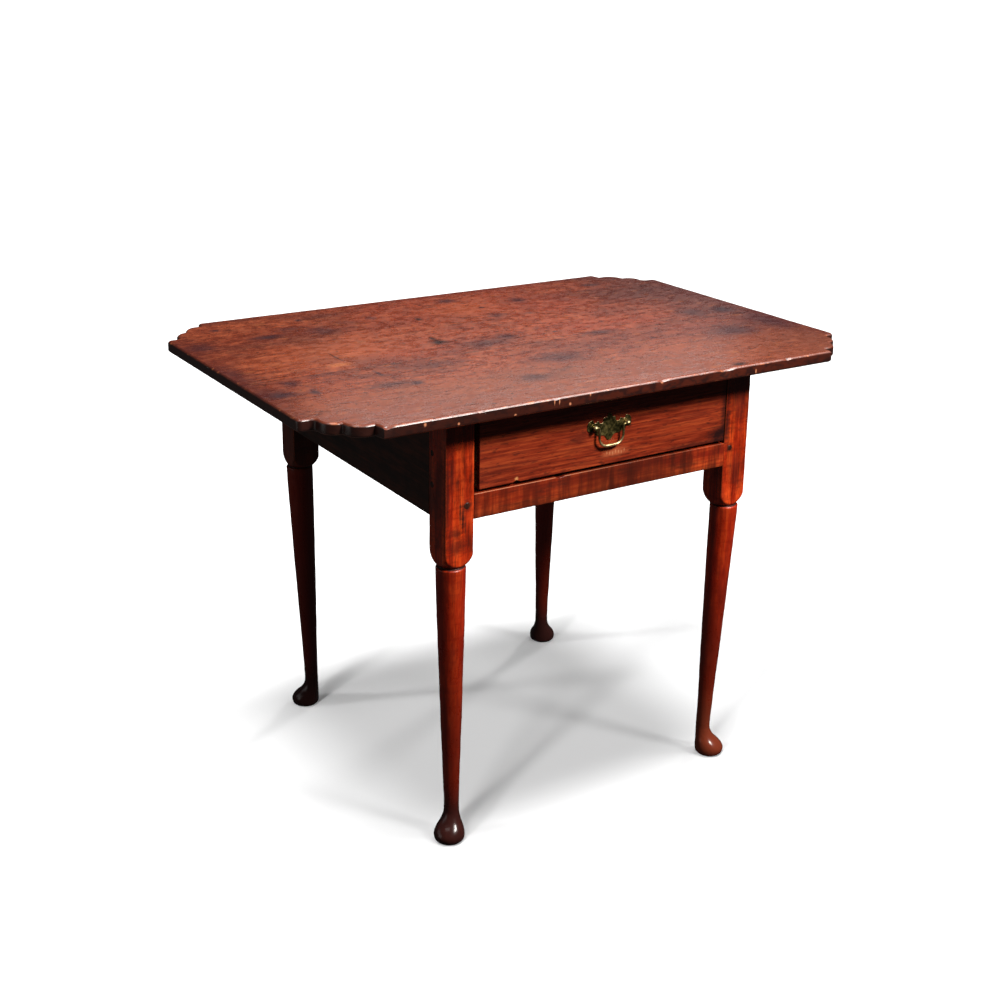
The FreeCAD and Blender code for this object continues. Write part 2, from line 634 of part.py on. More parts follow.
def drawer_side(name, low_x):
    """A drawer side drawn from the side, Y across and Z up, with dovetails at both ends."""
    body = doc.addObject("PartDesign::Body", name)
    profile = sketch_on(body, f"{name}_profile", "YZ_Plane")
    path = []
    pitch = f"(({SIDE_TOP} - {SIDE_BOTTOM}) / {TAILS})"
    middles = [f"({SIDE_BOTTOM} + ({n} + 1 / 2) * {pitch})" for n in range(TAILS)]

    def tail_points(root, end, rising):
        points = []
        for middle in (middles if rising else reversed(middles)):
            sign = 1 if rising else -1
            points += [
                (root, f"({middle} - {sign} * dims.tail_narrow / 2)"),
                (end, f"({middle} - {sign} * dims.tail_wide / 2)"),
                (end, f"({middle} + {sign} * dims.tail_wide / 2)"),
                (root, f"({middle} + {sign} * dims.tail_narrow / 2)"),
            ]
        return points

    start = (FRONT_Y[1], SIDE_BOTTOM)
    path.append((BACK_Y[0], SIDE_BOTTOM))
    path += tail_points(BACK_Y[0], BACK_Y[1], True)
    path.append((BACK_Y[0], SIDE_TOP))
    path.append((FRONT_Y[1], SIDE_TOP))
    path += tail_points(FRONT_Y[1], LAP_Y, False)
    path.append(start)
    trace(profile, start, path)
    pad(body, profile, "dims.side_thick", f"{name}_board")
    place(body, low_x, "0", "0")
    return body


side_left = drawer_side("drawer_side_left_blank", DRAWER_LEFT)
side_right = drawer_side("drawer_side_right_blank", f"({DRAWER_RIGHT} - dims.side_thick)")

panel = doc.addObject("PartDesign::Body", "drawer_bottom_blank")
panel_x = (f"({DRAWER_LEFT} + dims.side_thick - dims.groove_depth)",
           f"({DRAWER_RIGHT} - dims.side_thick + dims.groove_depth)")
panel_y = (f"({FRONT_Y[1]} - dims.groove_depth)", BACK_Y[1])
panel_plan = sketch_on(panel, "drawer_bottom_plan", "XY_Plane")
trace(panel_plan, (panel_x[0], panel_y[0]), [
    (panel_x[1], panel_y[0]), (panel_x[1], panel_y[1]), (panel_x[0], panel_y[1]), (panel_x[0], panel_y[0])])
panel_board = pad(panel, panel_plan, "dims.bottom_thick", "drawer_bottom_board")
doc.recompute()
feathered = panel.newObject("PartDesign::Chamfer", "drawer_bottom_feather")
back_y = value(panel_y[1])
low_edges = [
    index for index, edge in enumerate(panel_board.Shape.Edges, start=1)
    if edge.BoundBox.ZMax < CLOSE and edge.BoundBox.YMin < back_y - CLOSE
]
feathered.Base = (panel_board, [f"Edge{index}" for index in low_edges])
feathered.ChamferType = "Two distances"
feathered.setExpression("Size", "dims.bevel_depth")
feathered.setExpression("Size2", "dims.bevel_width")
place(panel, "0", "0", PANEL_BOTTOM)

BOTTOM_NAIL_SHARES = (0.15, 0.5, 0.85)
bottom_nails = []
for number, share in enumerate(BOTTOM_NAIL_SHARES):
    x = f"({DRAWER_LEFT} + {share} * ({DRAWER_RIGHT} - {DRAWER_LEFT}))"
    y = f"({BACK_Y[1]} - dims.side_thick / 2)"
    bottom_nails.append(nail(f"drawer_bottom_nail_{number}", (x, y, PANEL_BOTTOM), (0, 0, 1),
                             "dims.bottom_nail_length"))

# The pull's posts: a ball head that holds the bail's pin, a neck, a collar on the back plate
# and a stem through the drawer front to a square nut.
PULL_XS = {
    "left": f"({DRAWER_MIDDLE} - dims.pull_spacing / 2)",
    "right": f"({DRAWER_MIDDLE} + dims.pull_spacing / 2)",
}
PIN_HOLE = "(dims.bail_pin_radius + dims.bail_pin_clearance)"


def pull_post(label, x):
    name = f"pull_post_{label}"
    body = doc.addObject("PartDesign::Body", f"{name}_blank")
    half = sketch_on(body, f"{name}_half", "XY_Plane")
    head = "dims.pull_head_radius"
    neck_y = f"(-dims.pull_standoff + sqrt({head}^2 - dims.pull_neck_radius^2))"
    collar_y = "(-dims.plate_thick - dims.pull_collar_height)"
    trace(half, ("0", f"(-dims.pull_standoff - {head})"), [
        ("dims.pull_neck_radius", neck_y, head),
        ("dims.pull_neck_radius", collar_y),
        ("dims.pull_collar_radius", collar_y),
        ("dims.pull_collar_radius", "(-dims.plate_thick)"),
        ("dims.stem_radius", "(-dims.plate_thick)"),
        ("dims.stem_radius", "(dims.front_thick + dims.stem_end)"),
        ("0", "(dims.front_thick + dims.stem_end)"),
        ("0", f"(-dims.pull_standoff - {head})"),
    ])
    spun = body.newObject("PartDesign::Revolution", f"{name}_spun")
    spun.Profile = half
    spun.ReferenceAxis = (half, ["V_Axis"])
    spun.Angle = FULL_TURN
    place(body, x, FACE, PULL_HEIGHT)
    eye = rod(f"{name}_eye", PIN_HOLE, "4 * dims.pull_head_radius",
              (f"({x} - 2 * dims.pull_head_radius)", f"({FACE} - dims.pull_standoff)", PULL_HEIGHT),
              (1, 0, 0))
    return carved(name, body, [eye])


posts = []
for label, x in PULL_XS.items():
    post = pull_post(label, x)
    pieces[f"pull_post_{label}"] = post
    posts.append(post)
    nut_y = f"({FACE} + dims.front_thick)"
    nut = block(f"pull_nut_{label}_blank",
                (f"({x} - dims.nut_width / 2)", nut_y, f"({PULL_HEIGHT} - dims.nut_width / 2)"),
                (f"({x} + dims.nut_width / 2)", f"({nut_y} + dims.nut_height)",
                 f"({PULL_HEIGHT} + dims.nut_width / 2)"))
    pieces[f"pull_nut_{label}"] = carved(f"pull_nut_{label}", nut, [post])

# One half of the bat-wing back plate, from the finial's tip round to the lower tip, as
# (across, up) from the middle between the posts, with the radius and turn of each arc.
PLATE_HALF = [
    (3.2, 16.2, 3.4, -1),
    (8.6, 12.4, 4.2),
    (10.4, 7.6, 3.0, -1),
    (18.6, 5.6, 5.5),
    (22.4, 7.8, 2.3, -1),
    (28.4, 7.4, 4.0),
    (33.6, 10.6, 3.2, -1),
    (39.0, 1.6, 7.0, -1),
    (34.6, -5.6, 5.0, -1),
    (25.6, -8.2, 9.0),
    (15.6, -14.0, 12.0, -1),
    (5.4, -18.6, 9.0),
    (0.0, -22.6, 6.0, -1),
]
PLATE_TIP = (0.0, 18.6)
PLATE_SPACING = 58  # the posts' spacing that the outline is drawn for


def back_plate(name):
    body = doc.addObject("PartDesign::Body", f"{name}_blank")
    outline = sketch_on(body, f"{name}_outline", "XZ_Plane")
    spread = f"(dims.pull_spacing / {PLATE_SPACING})"

    def spot(across, up):
        return (f"({across} * {spread})", str(up))

    path = []
    for across, up, radius, *right in PLATE_HALF:
        path.append((*spot(across, up), f"({radius} * {spread})", *right))
    stops = [PLATE_TIP] + [point[:2] for point in PLATE_HALF]
    for number in range(len(PLATE_HALF) - 1, -1, -1):
        across, up = stops[number]
        _, _, radius, *right = PLATE_HALF[number]
        path.append((*spot(-across, up), f"({radius} * {spread})", *right))
    trace(outline, spot(*PLATE_TIP), path)
    pad(body, outline, "dims.plate_thick", f"{name}_sheet")
    place(body, DRAWER_MIDDLE, FACE, PULL_HEIGHT)
    return body


pieces["pull_plate"] = carved("pull_plate", back_plate("pull_plate"), posts)


def bail(name):
    """The swinging grip: a bent rod whose pins turn outwards into the posts' heads."""
    body = doc.addObject("PartDesign::Body", f"{name}_rod")
    end = "(dims.pull_spacing / 2 - dims.pull_head_radius - dims.bail_side_gap)"
    arm = f"({end} - dims.bail_elbow)"
    low = "(-dims.bail_drop)"
    elbow = "dims.bail_elbow"
    bend = "dims.bail_bend"
    path = sketch_on(body, f"{name}_path", "XZ_Plane")
    trace(path, (f"-{end}", "0"), [
        (f"-{arm}", f"-{elbow}", elbow, -1),
        (f"-{arm}", f"({low} + {bend})"),
        (f"(-{arm} + {bend})", low, bend),
        (f"({arm} - {bend})", low),
        (arm, f"({low} + {bend})", bend),
        (arm, f"-{elbow}"),
        (end, "0", elbow, -1),
    ], closed=False)
    section = sketch_on(body, f"{name}_section", "YZ_Plane", f"-{end}")
    ring(section, "0", "0", "dims.bail_radius")
    doc.recompute()
    swept = body.newObject("PartDesign::AdditivePipe", f"{name}_bent")
    swept.Profile = section
    swept.Spine = path
    axis_y = f"({FACE} - dims.pull_standoff)"
    place(body, DRAWER_MIDDLE, axis_y, PULL_HEIGHT)
    ends = []
    for label, side in (("left", -1), ("right", 1)):
        ends.append(rod(f"{name}_pin_{label}", "dims.bail_pin_radius", "dims.bail_pin_length",
                        (f"({DRAWER_MIDDLE} + {side} * {end})", axis_y, PULL_HEIGHT), (side, 0, 0)))
    return joined(name, [body, *ends])


pieces["bail"] = bail("bail")

front_blank = block("drawer_front_blank", (DRAWER_LEFT, FRONT_Y[0], FRONT_BOTTOM),
                    (DRAWER_RIGHT, FRONT_Y[1], FRONT_TOP))
back_board = block("drawer_back_blank", (DRAWER_LEFT, BACK_Y[0], PANEL_TOP),
                   (DRAWER_RIGHT, BACK_Y[1], SIDE_TOP))
pieces["drawer_front"] = carved("drawer_front", front_blank, [side_left, side_right, panel, *posts])
pieces["drawer_side_left"] = carved("drawer_side_left", side_left, [panel])
pieces["drawer_side_right"] = carved("drawer_side_right", side_right, [panel])
pieces["drawer_back"] = carved("drawer_back", back_board, [side_left, side_right, *bottom_nails])
pieces["drawer_bottom"] = carved("drawer_bottom", panel, bottom_nails)
pieces["drawer_bottom_nails"] = grouped("drawer_bottom_nails", bottom_nails)

for name, piece in pieces.items():
    piece.Label = name
doc.recompute()

# Every feature must have built, and every piece must be sound, before anything is written.
for made in doc.Objects:
    if "Invalid" in made.State or "Error" in made.State:
        raise RuntimeError(f"{made.Name} did not build: {made.State}")
for name, piece in pieces.items():
    shape = piece.Shape
    if shape.isNull() or not shape.isValid() or not shape.Solids:
        raise RuntimeError(f"{name} has no sound shape")

os.makedirs("parts", exist_ok=True)
for name, piece in pieces.items():
    piece.Shape.exportStep(f"parts/{name}.step")
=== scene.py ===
import math

import bpy
from mathutils import Matrix, Vector


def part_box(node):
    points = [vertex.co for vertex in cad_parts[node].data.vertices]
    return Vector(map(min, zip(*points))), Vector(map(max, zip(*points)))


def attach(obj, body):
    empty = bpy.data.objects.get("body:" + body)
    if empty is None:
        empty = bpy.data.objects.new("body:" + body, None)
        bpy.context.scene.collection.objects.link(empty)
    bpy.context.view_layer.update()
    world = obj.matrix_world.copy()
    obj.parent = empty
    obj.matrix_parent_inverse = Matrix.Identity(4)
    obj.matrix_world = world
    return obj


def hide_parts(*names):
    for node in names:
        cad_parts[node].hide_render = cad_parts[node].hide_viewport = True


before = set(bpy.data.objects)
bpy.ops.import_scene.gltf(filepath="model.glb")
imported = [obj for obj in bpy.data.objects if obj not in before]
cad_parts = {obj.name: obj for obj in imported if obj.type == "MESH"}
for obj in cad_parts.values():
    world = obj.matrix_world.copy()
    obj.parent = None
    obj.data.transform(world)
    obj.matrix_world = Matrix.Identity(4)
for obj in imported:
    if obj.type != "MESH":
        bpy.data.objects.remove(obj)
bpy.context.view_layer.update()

for thing in bpy.context.selected_objects:
    thing.select_set(False)

# Camera.  It stands in front of the drawer, to the table's left and above its top, turned and
# tipped down towards it.
CAMERA_PLACE = Vector((-1.2546, -1.9423, 1.2739))
CAMERA_YAW = -0.5688
CAMERA_PITCH = 0.291
CAMERA_ROLL = 0.0153
CAMERA_LENS = 54.263
CAMERA_SHIFT = -0.1
lens = bpy.data.cameras.new("camera")
lens.sensor_width = 36
lens.lens = CAMERA_LENS
lens.shift_y = CAMERA_SHIFT
lens.clip_end = 400
camera = bpy.data.objects.new("camera", lens)
bpy.context.scene.collection.objects.link(camera)
camera.matrix_world = (Matrix.Translation(CAMERA_PLACE) @ Matrix.Rotation(CAMERA_YAW, 4, "Z")
                       @ Matrix.Rotation(math.pi / 2 - CAMERA_PITCH, 4, "X")
                       @ Matrix.Rotation(CAMERA_ROLL, 4, "Z"))
bpy.context.scene.camera = camera


# Studio.  A white floor that runs out of sight, a large soft light over the drawer's right hand
# corner, a second one behind for the sheen of the top, weak ones that fill the shade from the
# left, and a dim surround.
FLOOR_SIZE = 200
SHADE_FILL = 0.03


def add_node(tree, kind, inputs=None, **settings):
    """A shader node; an input given as a socket is linked, any other value is set."""
    made = tree.nodes.new("ShaderNode" + kind)
    for key, setting in settings.items():
        setattr(made, key, setting)
    for key, given in (inputs or {}).items():
        if isinstance(given, bpy.types.NodeSocket):
            tree.links.new(given, made.inputs[key])
        else:
            made.inputs[key].default_value = given
    return made


bpy.ops.mesh.primitive_plane_add(size=FLOOR_SIZE)
floor = bpy.context.object
floor.name = "floor"
paper = bpy.data.materials.new("studio_paper")
paper.use_nodes = True
paper.node_tree.nodes.clear()
white = add_node(paper.node_tree, "BsdfDiffuse", {"Color": (1, 1, 1, 1)})
add_node(paper.node_tree, "OutputMaterial", {"Surface": white.outputs[0]})
floor.data.materials.append(paper)
floor.visible_diffuse = False
floor.visible_glossy = False

# The floor has its own light, and the table has the rest: what each lamp reaches is linked.
floor_alone = bpy.data.collections.new("floor_alone")
all_but_floor = bpy.data.collections.new("all_but_floor")
for group in (floor_alone, all_but_floor):
    group.objects.link(floor)
all_but_floor.collection_objects[0].light_linking.link_state = "EXCLUDE"


def lamp(name, kind, place, aim, strength, tint, reaches, **shape):
    """A light of a kind, set up at a place and aimed at a point."""
    light = bpy.data.lights.new(name, kind)
    light.energy = strength
    light.color = tint
    for key, setting in shape.items():
        setattr(light, key, setting)
    stand = bpy.data.objects.new(name, light)
    stand.location = place
    stand.rotation_euler = (Vector(aim) - Vector(place)).to_track_quat("-Z", "Y").to_euler()
    stand.visible_camera = False
    stand.light_linking.receiver_collection = reaches
    bpy.context.scene.collection.objects.link(stand)


def softbox(name, place, aim, width, height, watts, tint):
    """A flat panel of light, for the table alone."""
    lamp(name, "AREA", place, aim, watts, tint, all_but_floor,
         shape="RECTANGLE", size=width, size_y=height)


softbox("key_light", (0.95, -2.45, 2.95), (0.0, -0.25, 0.5), 0.9, 0.6, 166, (1.0, 0.96, 0.91))
softbox("edge_light", (1.0, -0.88, 2.25), (1.0, -0.318, 0.686), 1.3, 0.36, 27, (1.0, 0.98, 0.97))
softbox("back_light", (0.62, 0.8, 1.23), (0.62, -1.0, 1.23), 1.16, 0.26, 1.5, (1.0, 0.96, 0.95))
softbox("top_light", (-0.8, -0.4, 2.5), (0.0, 0.0, 0.68), 1.0, 1.0, 12, (1.0, 0.98, 0.96))
softbox("left_fill", (-3.2, 1.6, 1.4), (0.0, 0.0, 0.4), 1.2, 1.2, 3, (0.95, 0.97, 1.0))
softbox("low_fill", (-2.6, 0.2, 0.55), (-0.25, -0.25, 0.35), 1.0, 0.8, 2.8, (1.0, 0.97, 0.94))


def floor_sun(name, around, up, spread, strength):
    """A lamp for the floor alone: the way it shines from, its spread, and the light that it gives."""
    turn, lift = math.radians(around), math.radians(up)
    way = (math.cos(turn) * math.cos(lift), math.sin(turn) * math.cos(lift), math.sin(lift))
    lamp(name, "SUN", way, (0, 0, 0), strength, (1, 1, 1), floor_alone, angle=math.radians(spread))


floor_sun("floor_high_right", 345, 76, 15, 1.75)
floor_sun("floor_high_left", 195, 76, 18, 1.8)
floor_sun("floor_low_front_left", 209, 12, 6, 2.1)
floor_sun("floor_front_left", 216, 42, 7, 0.46)
floor_sun("floor_front_right", 300, 42, 10, 0.58)
floor_sun("floor_low_back_left", 160, 18, 8, 1.22)
floor_sun("floor_low_back_right", 26, 20, 8, 0.95)

world = bpy.data.worlds.new("studio")
bpy.context.scene.world = world
world.use_nodes = True
seen = add_node(world.node_tree, "LightPath").outputs["Is Camera Ray"]
surround = world.node_tree.nodes["Background"]
surround.inputs["Color"].default_value = (1, 1, 1, 1)
world.node_tree.links.new(add_node(world.node_tree, "MapRange", {
    "Value": seen, "To Min": SHADE_FILL, "To Max": 1.0}).outputs["Result"], surround.inputs["Strength"])
bpy.context.scene.view_settings.view_transform = "Standard"


# Top boards.  Two wide pine boards glued edge to edge, sawn at each outer corner to a step, two
# lobes, a cove and a horn.  Long use has rounded the arrises and left knots, stains and cracks.
TOP_SEAM = -0.052
TOP_FACE = 0.686
TOP_LENGTH, TOP_WIDTH, TOP_THICK = 0.95, 0.636, 0.018
STEP_SLANT, STEP, LEDGE, LOBE, CUSP, SMALL_LOBE = 0.0035, 0.019, 0.0085, 0.025, 0.0015, 0.022
COVE_NECK, COVE, COVE_FLAT, HORN = 0.005, 0.008, 0.008, 0.0075
SCALLOPS_ALONG = STEP_SLANT + LEDGE + LOBE + CUSP + SMALL_LOBE + COVE + COVE_FLAT + HORN
SCALLOPS_ACROSS = STEP + LOBE + CUSP + SMALL_LOBE + COVE_NECK + COVE + HORN
TOP_ARRIS = 0.0034
# Where the front edge is chipped: along X, how far the chip reaches, how deep it is.
EDGE_CHIPS = [(-0.385, 0.007, 0.0022), (-0.126, 0.005, 0.001), (0.062, 0.008, 0.0016),
              (0.179, 0.016, 0.002), (0.3, 0.006, 0.0014), (-0.245, 0.006, 0.001)]
# Points that lie nearer than this count as one.
CLOSE = 1e-5


def pick(*things):
    """Select these objects alone, the first of them active."""
    bpy.ops.object.select_all(action="DESELECT")
    for thing in things:
        thing.select_set(True)
    bpy.context.view_layer.objects.active = things[0]


def edit(thing):
    """Open a mesh for editing, alone and with nothing selected in it."""
    pick(thing)
    bpy.ops.object.mode_set(mode="EDIT")
    bpy.ops.mesh.select_all(action="DESELECT")


def pick_edges(thing, wanted):
    """Select the edges whose two ends pass a test, in a mesh open for editing."""
    bpy.ops.mesh.select_mode(type="EDGE")
    bpy.ops.mesh.select_all(action="DESELECT")
    bpy.ops.object.mode_set(mode="OBJECT")
    points = thing.data.vertices
    for edge in thing.data.edges:
        edge.select = wanted(*(points[index].co for index in edge.vertices))
    bpy.ops.object.mode_set(mode="EDIT")


def shaped(thing, name, kind, **settings):
    """Add a modifier, set it and apply it."""
    made = thing.modifiers.new(name, kind)
    for key, setting in settings.items():
        setattr(made, key, setting)
    pick(thing)
    bpy.ops.object.modifier_apply(modifier=name)


def wear(thing, name, depth, size, wanted=lambda point: True):
    """Hand tool marks and wear: the chosen points sink and rise with a soft cloud."""
    group = thing.vertex_groups.new(name=name)
    group.add([v.index for v in thing.data.vertices if wanted(v.co)], 1.0, "REPLACE")
    clouds = bpy.data.textures.new(name, "CLOUDS")
    clouds.noise_scale = size
    clouds.noise_depth = 2
    shaped(thing, name, "DISPLACE", texture=clouds, texture_coords="LOCAL", strength=depth,
           mid_level=0.5, vertex_group=name)
    thing.vertex_groups.clear()


def chip(thing, place, reach, shift, steepness):
    """Knock a chip out of an arris: the points within reach of a place are shifted."""
    for point in thing.data.vertices:
        share = 1 - (point.co - Vector(place)).length / reach
        if share > 0:
            point.co += Vector(shift) * min(1, steepness * share)


def smooth(thing, degrees):
    """Shade arrises as rounded and keep wide faces flat."""
    pick(thing)
    bpy.ops.object.shade_smooth_by_angle(angle=math.radians(degrees))
    shaped(thing, "flat_faces", "WEIGHTED_NORMAL", weight=90, keep_sharp=True)


def scalloped_board(name, side):
    """One board, from the seam to its long edge: side is -1 for the front one, 1 for the back."""
    low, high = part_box(name)
    bpy.ops.mesh.primitive_plane_add(size=TOP_THICK, location=(0, TOP_SEAM, low.z))
    board = bpy.context.object
    board.name = f"worn_{name}"
    bpy.ops.object.transform_apply(location=True)
    bpy.ops.object.mode_set(mode="EDIT")
    bpy.ops.mesh.select_mode(type="VERT")
    bpy.ops.mesh.merge(type="CENTER")
    at = Vector((0, TOP_SEAM))

    def walk(dx, dy, stretch=0.005):
        steps = max(1, round(math.hypot(dx, dy) / stretch))
        for _ in range(steps):
            bpy.ops.mesh.extrude_region_move(
                TRANSFORM_OT_translate={"value": (dx / steps, side * dy / steps, 0)})
        at.x += dx
        at.y += side * dy

    def turn(dx, dy, hollow=False):
        middle = (at.x, at.y + side * dy) if hollow else (at.x + dx, at.y)
        start = Vector((at.x - middle[0], at.y - middle[1]))
        at.x += dx
        at.y += side * dy
        end = Vector((at.x - middle[0], at.y - middle[1]))
        bpy.ops.mesh.spin(steps=max(6, round(abs(dx) / 0.0014)), angle=start.angle_signed(end),
                          center=(*middle, low.z), axis=(0, 0, 1))

    walk(TOP_LENGTH / 2, 0)
    walk(0, TOP_WIDTH / 2 - side * TOP_SEAM - SCALLOPS_ACROSS)
    turn(-HORN, HORN)
    walk(-COVE_FLAT, 0)
    turn(-COVE, COVE, hollow=True)
    walk(0, COVE_NECK)
    turn(-SMALL_LOBE, SMALL_LOBE)
    walk(-CUSP, CUSP)
    turn(-LOBE, LOBE)
    walk(-LEDGE, 0)
    walk(-STEP_SLANT, STEP)
    walk(-(TOP_LENGTH / 2 - SCALLOPS_ALONG), 0)
    bpy.ops.object.mode_set(mode="OBJECT")
    shaped(board, "other_end", "MIRROR", use_axis=(True, False, False), merge_threshold=CLOSE)

    edit(board)
    bpy.ops.mesh.select_all(action="SELECT")
    bpy.ops.mesh.remove_doubles(threshold=CLOSE)
    bpy.ops.mesh.edge_face_add()
    bpy.ops.mesh.extrude_region_move(TRANSFORM_OT_translate={"value": (0, 0, high.z - low.z)})
    bpy.ops.mesh.select_all(action="SELECT")
    bpy.ops.mesh.normals_make_consistent(inside=False)

    def at_seam(point):
        return abs(point.y - TOP_SEAM) < CLOSE

    pick_edges(board, lambda a, b: abs(a.z - b.z) < CLOSE and not (at_seam(a) and at_seam(b)))
    bpy.ops.mesh.bevel(offset=TOP_ARRIS, segments=5, profile=0.34, affect="EDGES")
    bpy.ops.object.mode_set(mode="OBJECT")

    # The arris wears unevenly, and the sawn edge keeps the rasp's small hollows.
    middle = (low.z + high.z) / 2
    wear(board, "arris_wear", 0.0005, 0.022,
         lambda point: not at_seam(point) and point.z > middle)
    wear(board, "rasp_marks", 0.0006, 0.005, lambda point: not at_seam(point) and point.z < middle)
    for x, reach, sink in EDGE_CHIPS if side < 0 else ():
        chip(board, (x, -TOP_WIDTH / 2, high.z), reach, (0, sink, -sink), 1.6)
    return board


def ramp(tree, factor, stops):
    """Colours or grey values blended along a factor; stops are (place, colour or grey)."""
    made = add_node(tree, "ValToRGB", {"Fac": factor})
    elements = made.color_ramp.elements
    while len(elements) < len(stops):
        elements.new(0.5)
    for element, (place, tone) in zip(elements, stops):
        element.position = place
        element.color = (*tone, 1) if isinstance(tone, tuple) else (tone, tone, tone, 1)
    return made.outputs["Color"]


def mixed(tree, factor, first, second):
    """Two colours blended by a factor."""
    made = tree.nodes.new("ShaderNodeMix")
    made.data_type = "RGBA"
    for index, given in ((0, factor), (6, first), (7, second)):
        if isinstance(given, bpy.types.NodeSocket):
            tree.links.new(given, made.inputs[index])
        elif isinstance(given, tuple):
            made.inputs[index].default_value = (*given, 1)
        else:
            made.inputs[index].default_value = given
    return made.outputs[2]


def sums(tree, operation, *given):
    """A number worked out from one, two or three others."""
    made = tree.nodes.new("ShaderNodeMath")
    made.operation = operation
    for index, number in enumerate(given):
        if isinstance(number, bpy.types.NodeSocket):
            tree.links.new(number, made.inputs[index])
        else:
            made.inputs[index].default_value = number
    return made.outputs[0]


def both(tree, mask, other):
    """1 where two masks meet."""
    return sums(tree, "MULTIPLY", mask, other)


def fade(tree, number, start, end, low=0.0, high=1.0):
    """A number carried smoothly from low to high while another runs from start to end."""
    made = add_node(tree, "MapRange", {"Value": number, "From Min": start, "From Max": end,
                                       "To Min": low, "To Max": high},
                    interpolation_type="SMOOTHSTEP")
    return made.outputs["Result"]


def cloud(tree, place, scale, detail=3.0, roughness=0.5, turn=0.0):
    """Noise drawn out by a scale along each axis, about 0.3 to 0.7; a turn hides its rows."""
    drawn = add_node(tree, "Mapping", {"Vector": place, "Scale": scale,
                                       "Rotation": (0, 0, turn)}).outputs["Vector"]
    made = add_node(tree, "TexNoise", {"Vector": drawn, "Scale": 1.0, "Detail": detail,
                                       "Roughness": roughness})
    return made.outputs[0]


def spot(tree, place, centre, reach, ragged=0.35, soft=0.5):
    """A ragged oval mark, 1 inside and 0 outside, round a point of the piece."""
    moved = add_node(tree, "VectorMath", {0: place, 1: centre}, operation="SUBTRACT").outputs[0]
    scaled = add_node(tree, "VectorMath", {0: moved, 1: reach}, operation="DIVIDE").outputs[0]
    away = add_node(tree, "VectorMath", {0: scaled}, operation="LENGTH").outputs["Value"]
    rough = cloud(tree, place, (90, 220, 220), 3.0, 0.6)
    uneven = sums(tree, "MULTIPLY_ADD", rough, ragged * 2, away)
    return fade(tree, uneven, 1 + ragged, 1 + ragged - soft)


class Wood:
    """The start of a wood finish: colour, gloss and height that follow the grain."""

    def __init__(self, name, grain, tones, figure=14, shares=(0.42, 0.3, 0.28), mottling=(26, 62)):
        self.material = bpy.data.materials.new(name)
        self.material.use_nodes = True
        tree = self.tree = self.material.node_tree
        self.shader = tree.nodes["Principled BSDF"]
        self.place = add_node(tree, "TexCoord").outputs["Object"]
        self.grain = "XYZ".index(grain)
        self.bands = self.streaks(1.3, figure, 4.0, 0.55)
        self.fibre = self.streaks(9, 300, 3.0, 0.65)
        self.mottle = self.streaks(*mottling, 4.0, 0.65)
        self.blotch = self.streaks(5, 16, 5.0, 0.62)
        tone = self.blend(zip((self.bands, self.mottle, self.fibre), shares))
        self.colour = ramp(tree, tone, list(zip((0.42, 0.5, 0.58), tones)))
        self.height = self.blend([(self.fibre, 0.6), (self.mottle, 0.8), (self.blotch, 1.0)])
        self.gloss = fade(tree, self.blotch, 0.3, 0.75, 0.3, 0.46)

    def blend(self, patterns):
        """The sum of patterns, each taken by its share."""
        *others, (last, share) = patterns
        total = sums(self.tree, "MULTIPLY", last, share)
        for pattern, share in reversed(others):
            total = sums(self.tree, "MULTIPLY_ADD", pattern, share, total)
        return total

    def streaks(self, along, across, detail=3.0, roughness=0.5):
        """Noise with its own pitch along the grain and across it."""
        scale = [across, across, across]
        scale[self.grain] = along
        return cloud(self.tree, self.place, scale, detail, roughness)

    def lay(self, mask, tone, strength=1.0):
        """Lay a colour over the wood where the mask says."""
        factor = sums(self.tree, "MULTIPLY", mask, strength)
        self.colour = mixed(self.tree, factor, self.colour, tone)

    def mark(self, centre, reach, tone, strength, ragged=0.5, soft=0.9):
        """Lay a colour over a ragged oval round a point of the piece."""
        self.lay(spot(self.tree, self.place, centre, reach, ragged, soft), tone, strength)

    def sink(self, mask, depth):
        """Lower the surface where the mask says."""
        self.height = sums(self.tree, "MULTIPLY_ADD", mask, -depth, self.height)

    def arris(self):
        """1 on worn corners and edges, 0 on the flats that square up with the frame."""
        facing = add_node(self.tree, "NewGeometry").outputs["Normal"]
        parts = add_node(self.tree, "SeparateXYZ", {0: add_node(
            self.tree, "VectorMath", {0: facing}, operation="ABSOLUTE").outputs[0]}).outputs
        most = sums(self.tree, "MAXIMUM", parts[0], sums(self.tree, "MAXIMUM", parts[1], parts[2]))
        return fade(self.tree, most, 0.985, 0.85)

    def axis(self, name):
        return add_node(self.tree, "SeparateXYZ", {0: self.place}).outputs[name]

    def polish(self, mask, roughness):
        """Make the finish smoother where the mask says."""
        self.gloss = sums(self.tree, "MULTIPLY_ADD", mask, sums(
            self.tree, "SUBTRACT", roughness, self.gloss), self.gloss)

    def finish(self, bump=0.35, depth=0.0012, specular=0.5, coat=0.0, coat_roughness=0.22):
        tree = self.tree
        tree.links.new(self.colour, self.shader.inputs["Base Color"])
        tree.links.new(self.gloss, self.shader.inputs["Roughness"])
        dent = add_node(tree, "Bump", {"Strength": bump, "Distance": depth, "Height": self.height})
        tree.links.new(dent.outputs["Normal"], self.shader.inputs["Normal"])
        self.shader.inputs["Specular IOR Level"].default_value = specular
        self.shader.inputs["Coat Weight"].default_value = coat
        self.shader.inputs["Coat Roughness"].default_value = coat_roughness
        return self.material


SMOKE = (0.04, 0.016, 0.022)
KNOT = (0.018, 0.006, 0.006)
AMBER = (0.66, 0.21, 0.075)

